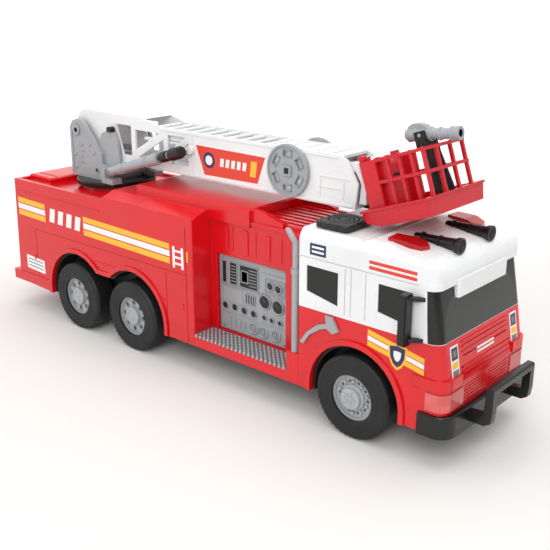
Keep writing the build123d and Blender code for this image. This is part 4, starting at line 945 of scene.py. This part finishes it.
def basket_detail():
    """Floor ribs, rail knuckles, side strips, console hoops, buttons and a knob in the basket."""
    piece = Piece("basket_detail", "rescue_basket", "basket_crimson")
    place = basket_place()
    for index in range(9):
        x = 6.0 + 6.0 * index
        piece.box((x, -33, 2.9), (x + 1.2, 33, 3.7), "basket_crimson", place)
    for side in SIDES:
        for x in (24.0, 35.0, 46.0, 57.0):
            for z in (32.7, 49.7):
                spot = place @ at(x, side * 29.0, z, outward(side))
                piece.lathe([(1.9, -0.3), (1.7, 0.4), (0.0, 0.5)], spot, "basket_crimson", 12)
        low, high = span(side, 41.3, 41.9)
        piece.box((2.0, low, 12.7), (56.0, high, 14.3), "basket_crimson", place)
    for y in (-23.0, -10.6):
        hoop = [(8.4, 0.0), (9.1, 0.2), (9.1, 1.4), (8.4, 1.6)]
        piece.lathe(hoop, place @ at(11.5, y, 43.0, "y"), "basket_crimson", 40)
    for y in (-20.0, -16.0, -12.0):
        spot = place @ at(20.0, y, 36.0, "x")
        piece.lathe([(1.2, -0.2), (1.2, 1.2), (0.0, 1.5)], spot, "black_trim", 12)
    knob = place @ Matrix.Translation((-1.0, -24.0, 51.0))
    piece.lathe([(3.0, 0.0), (3.4, 1.5), (3.4, 3.8), (2.4, 5.0), (0.0, 5.2)], knob, "basket_crimson", 24)
    return piece.build(bevel=0.15)


def monitor_detail():
    """Bands, bore and hump of the water cannon, and the struts of its post."""
    dip = Matrix.Rotation(math.radians(CANNON_DIP), 4, "Y")
    place = basket_place() @ Matrix.Translation(CANNON) @ dip
    piece = Piece("monitor_detail", "nozzle", "grey_plastic")
    along = place @ Matrix.Rotation(math.pi / 2, 4, "Y")
    for t, r in ((-13.0, 5.6), (-6.0, 5.7), (6.0, 5.4), (14.0, 4.9), (24.0, 5.2)):
        band = [(r - 0.7, t - 1.2), (r + 0.3, t - 0.8), (r + 0.3, t + 0.8), (r - 0.7, t + 1.2)]
        piece.lathe(band, along, "grey_plastic", 28)
    # Painted shade: the bore inside the muzzle is black.
    piece.lathe([(2.9, 30.6), (2.4, 22.0), (0.0, 21.0)], along, "panel_black", 24)
    hump = [
        (-14.0, 3.0), (-13.0, 6.4), (-9.0, 8.6), (-3.0, 8.8),
        (2.0, 7.2), (5.0, 4.6), (5.0, 2.0), (-14.0, 2.0),
    ]
    piece.prism(hump, "y", -3.4, 3.4, "grey_plastic", place)
    piece.build(bevel=0.6)
    strut = Piece("monitor_strut", "monitor", "black_trim")
    leg = [(46.0, 49.0), (50.5, 49.0), (57.5, 8.0), (53.0, 8.0)]
    for low, high in ((-5.6, -3.2), (3.2, 5.6)):
        strut.prism(leg, "y", low, high, "black_trim", basket_place())
    foot = [(44.0, 6.2), (57.5, 6.2), (57.5, 9.0), (44.0, 9.0)]
    strut.prism(foot, "y", -5.6, 5.6, "black_trim", basket_place())
    return strut.build(bevel=0.4)


# ------------------------------------------------------------------ studio and camera


def studio():
    """Pale sweep behind the truck, turned towards the camera, with soft lights."""
    away = (Vector(TARGET) - Vector(EYE)).to_2d().normalized()
    sweep = sweep_paper(away)
    bpy.context.scene.collection.objects.link(sweep)
    world = bpy.data.worlds.new("studio_air")
    bpy.context.scene.world = world
    world.use_nodes = True
    world.node_tree.nodes["Background"].inputs["Color"].default_value = (1.0, 1.0, 1.0, 1.0)
    world.node_tree.nodes["Background"].inputs["Strength"].default_value = 0.62
    lamp("overhead", (0.1, 0.1, 1.7), (0, 0, 0.1), 1.8, 17)
    lamp("key", (1.0, -1.4, 1.3), (0.05, 0, 0.1), 1.1, 19)
    lamp("side", (-1.4, -1.2, 0.9), (0, 0, 0.1), 1.0, 5)
    camera(Vector(EYE), Vector(TARGET))


def sweep_paper(away):
    """Floor that curves up into a wall, in paper painted whiter and given a glow with distance as painted
    light.
    """
    across = Vector((-away.y, away.x))
    bend = 1.6
    profile = [(-4.0, 0.0), (bend, 0.0)]
    for k in range(1, 13):
        angle = math.radians(7.5 * k)
        profile.append((bend + bend * math.sin(angle), bend - bend * math.cos(angle)))
    profile.append((2 * bend, 5.0))
    verts, faces = [], []
    for depth, height in profile:
        for wide in (-6.0, 6.0):
            spot = away * depth + across * wide
            verts.append((spot.x, spot.y, height))
    for i in range(len(profile) - 1):
        faces.append([2 * i, 2 * i + 1, 2 * i + 3, 2 * i + 2])
    mesh = bpy.data.meshes.new("sweep")
    mesh.from_pydata(verts, [], faces)
    for polygon in mesh.polygons:
        polygon.use_smooth = True
    s = Shader("sweep_paper")
    split = s.axes()
    along_x = s.math("MULTIPLY", split["X"], away.x)
    along_y = s.math("MULTIPLY", split["Y"], away.y)
    depth = s.math("ADD", along_x, along_y)
    # Painted light: the paper is coloured lighter and made to glow more with distance, standing in for light
    # on the backdrop.
    far = s.ramp(depth, 0.1, 1.3, 0.0, 1.0)
    s.link(s.mix(far, linear((222, 221, 218)), linear((250, 250, 250))), s.surface.inputs["Base Color"])
    s.set("Emission Color", (1.0, 1.0, 1.0, 1.0))
    s.link(s.ramp(depth, 0.25, 1.5, 0.0, 0.3), s.surface.inputs["Emission Strength"])
    s.set("Roughness", 0.75)
    s.link(s.bump(s.noise(300.0, 2.0), 0.0001, 0.1), s.surface.inputs["Normal"])
    mesh.materials.append(s.material)
    return bpy.data.objects.new("sweep", mesh)


def lamp(name, place, aim, size, power):
    """Square soft light in metres and watts, aimed at a point."""
    data = bpy.data.lights.new(name, "AREA")
    data.size = size
    data.energy = power
    obj = bpy.data.objects.new(name, data)
    obj.location = place
    obj.rotation_euler = (Vector(aim) - Vector(place)).to_track_quat("-Z", "Y").to_euler()
    obj.visible_camera = False
    bpy.context.scene.collection.objects.link(obj)


def camera(eye, target):
    """Camera at the photographer's place."""
    data = bpy.data.cameras.new("photo_camera")
    data.lens = LENS
    data.sensor_width = SENSOR
    obj = bpy.data.objects.new("photo_camera", data)
    obj.location = eye
    obj.rotation_euler = (target - eye).to_track_quat("-Z", "Y").to_euler()
    bpy.context.scene.collection.objects.link(obj)
    bpy.context.scene.camera = obj
    bpy.context.scene.view_settings.view_transform = "Standard"


body_decals()
cab_decals()
boom_decals()
pump_panel_detail()
for axle_name, axle_x in AXLES.items():
    wheel_detail(axle_name, axle_x)
fascia_detail()
roof_detail()
mirror_detail()
rear_detail()
body_detail()
yoke_detail()
boom_detail()
crank_detail()
ram_detail()
basket_detail()
monitor_detail()
studio()
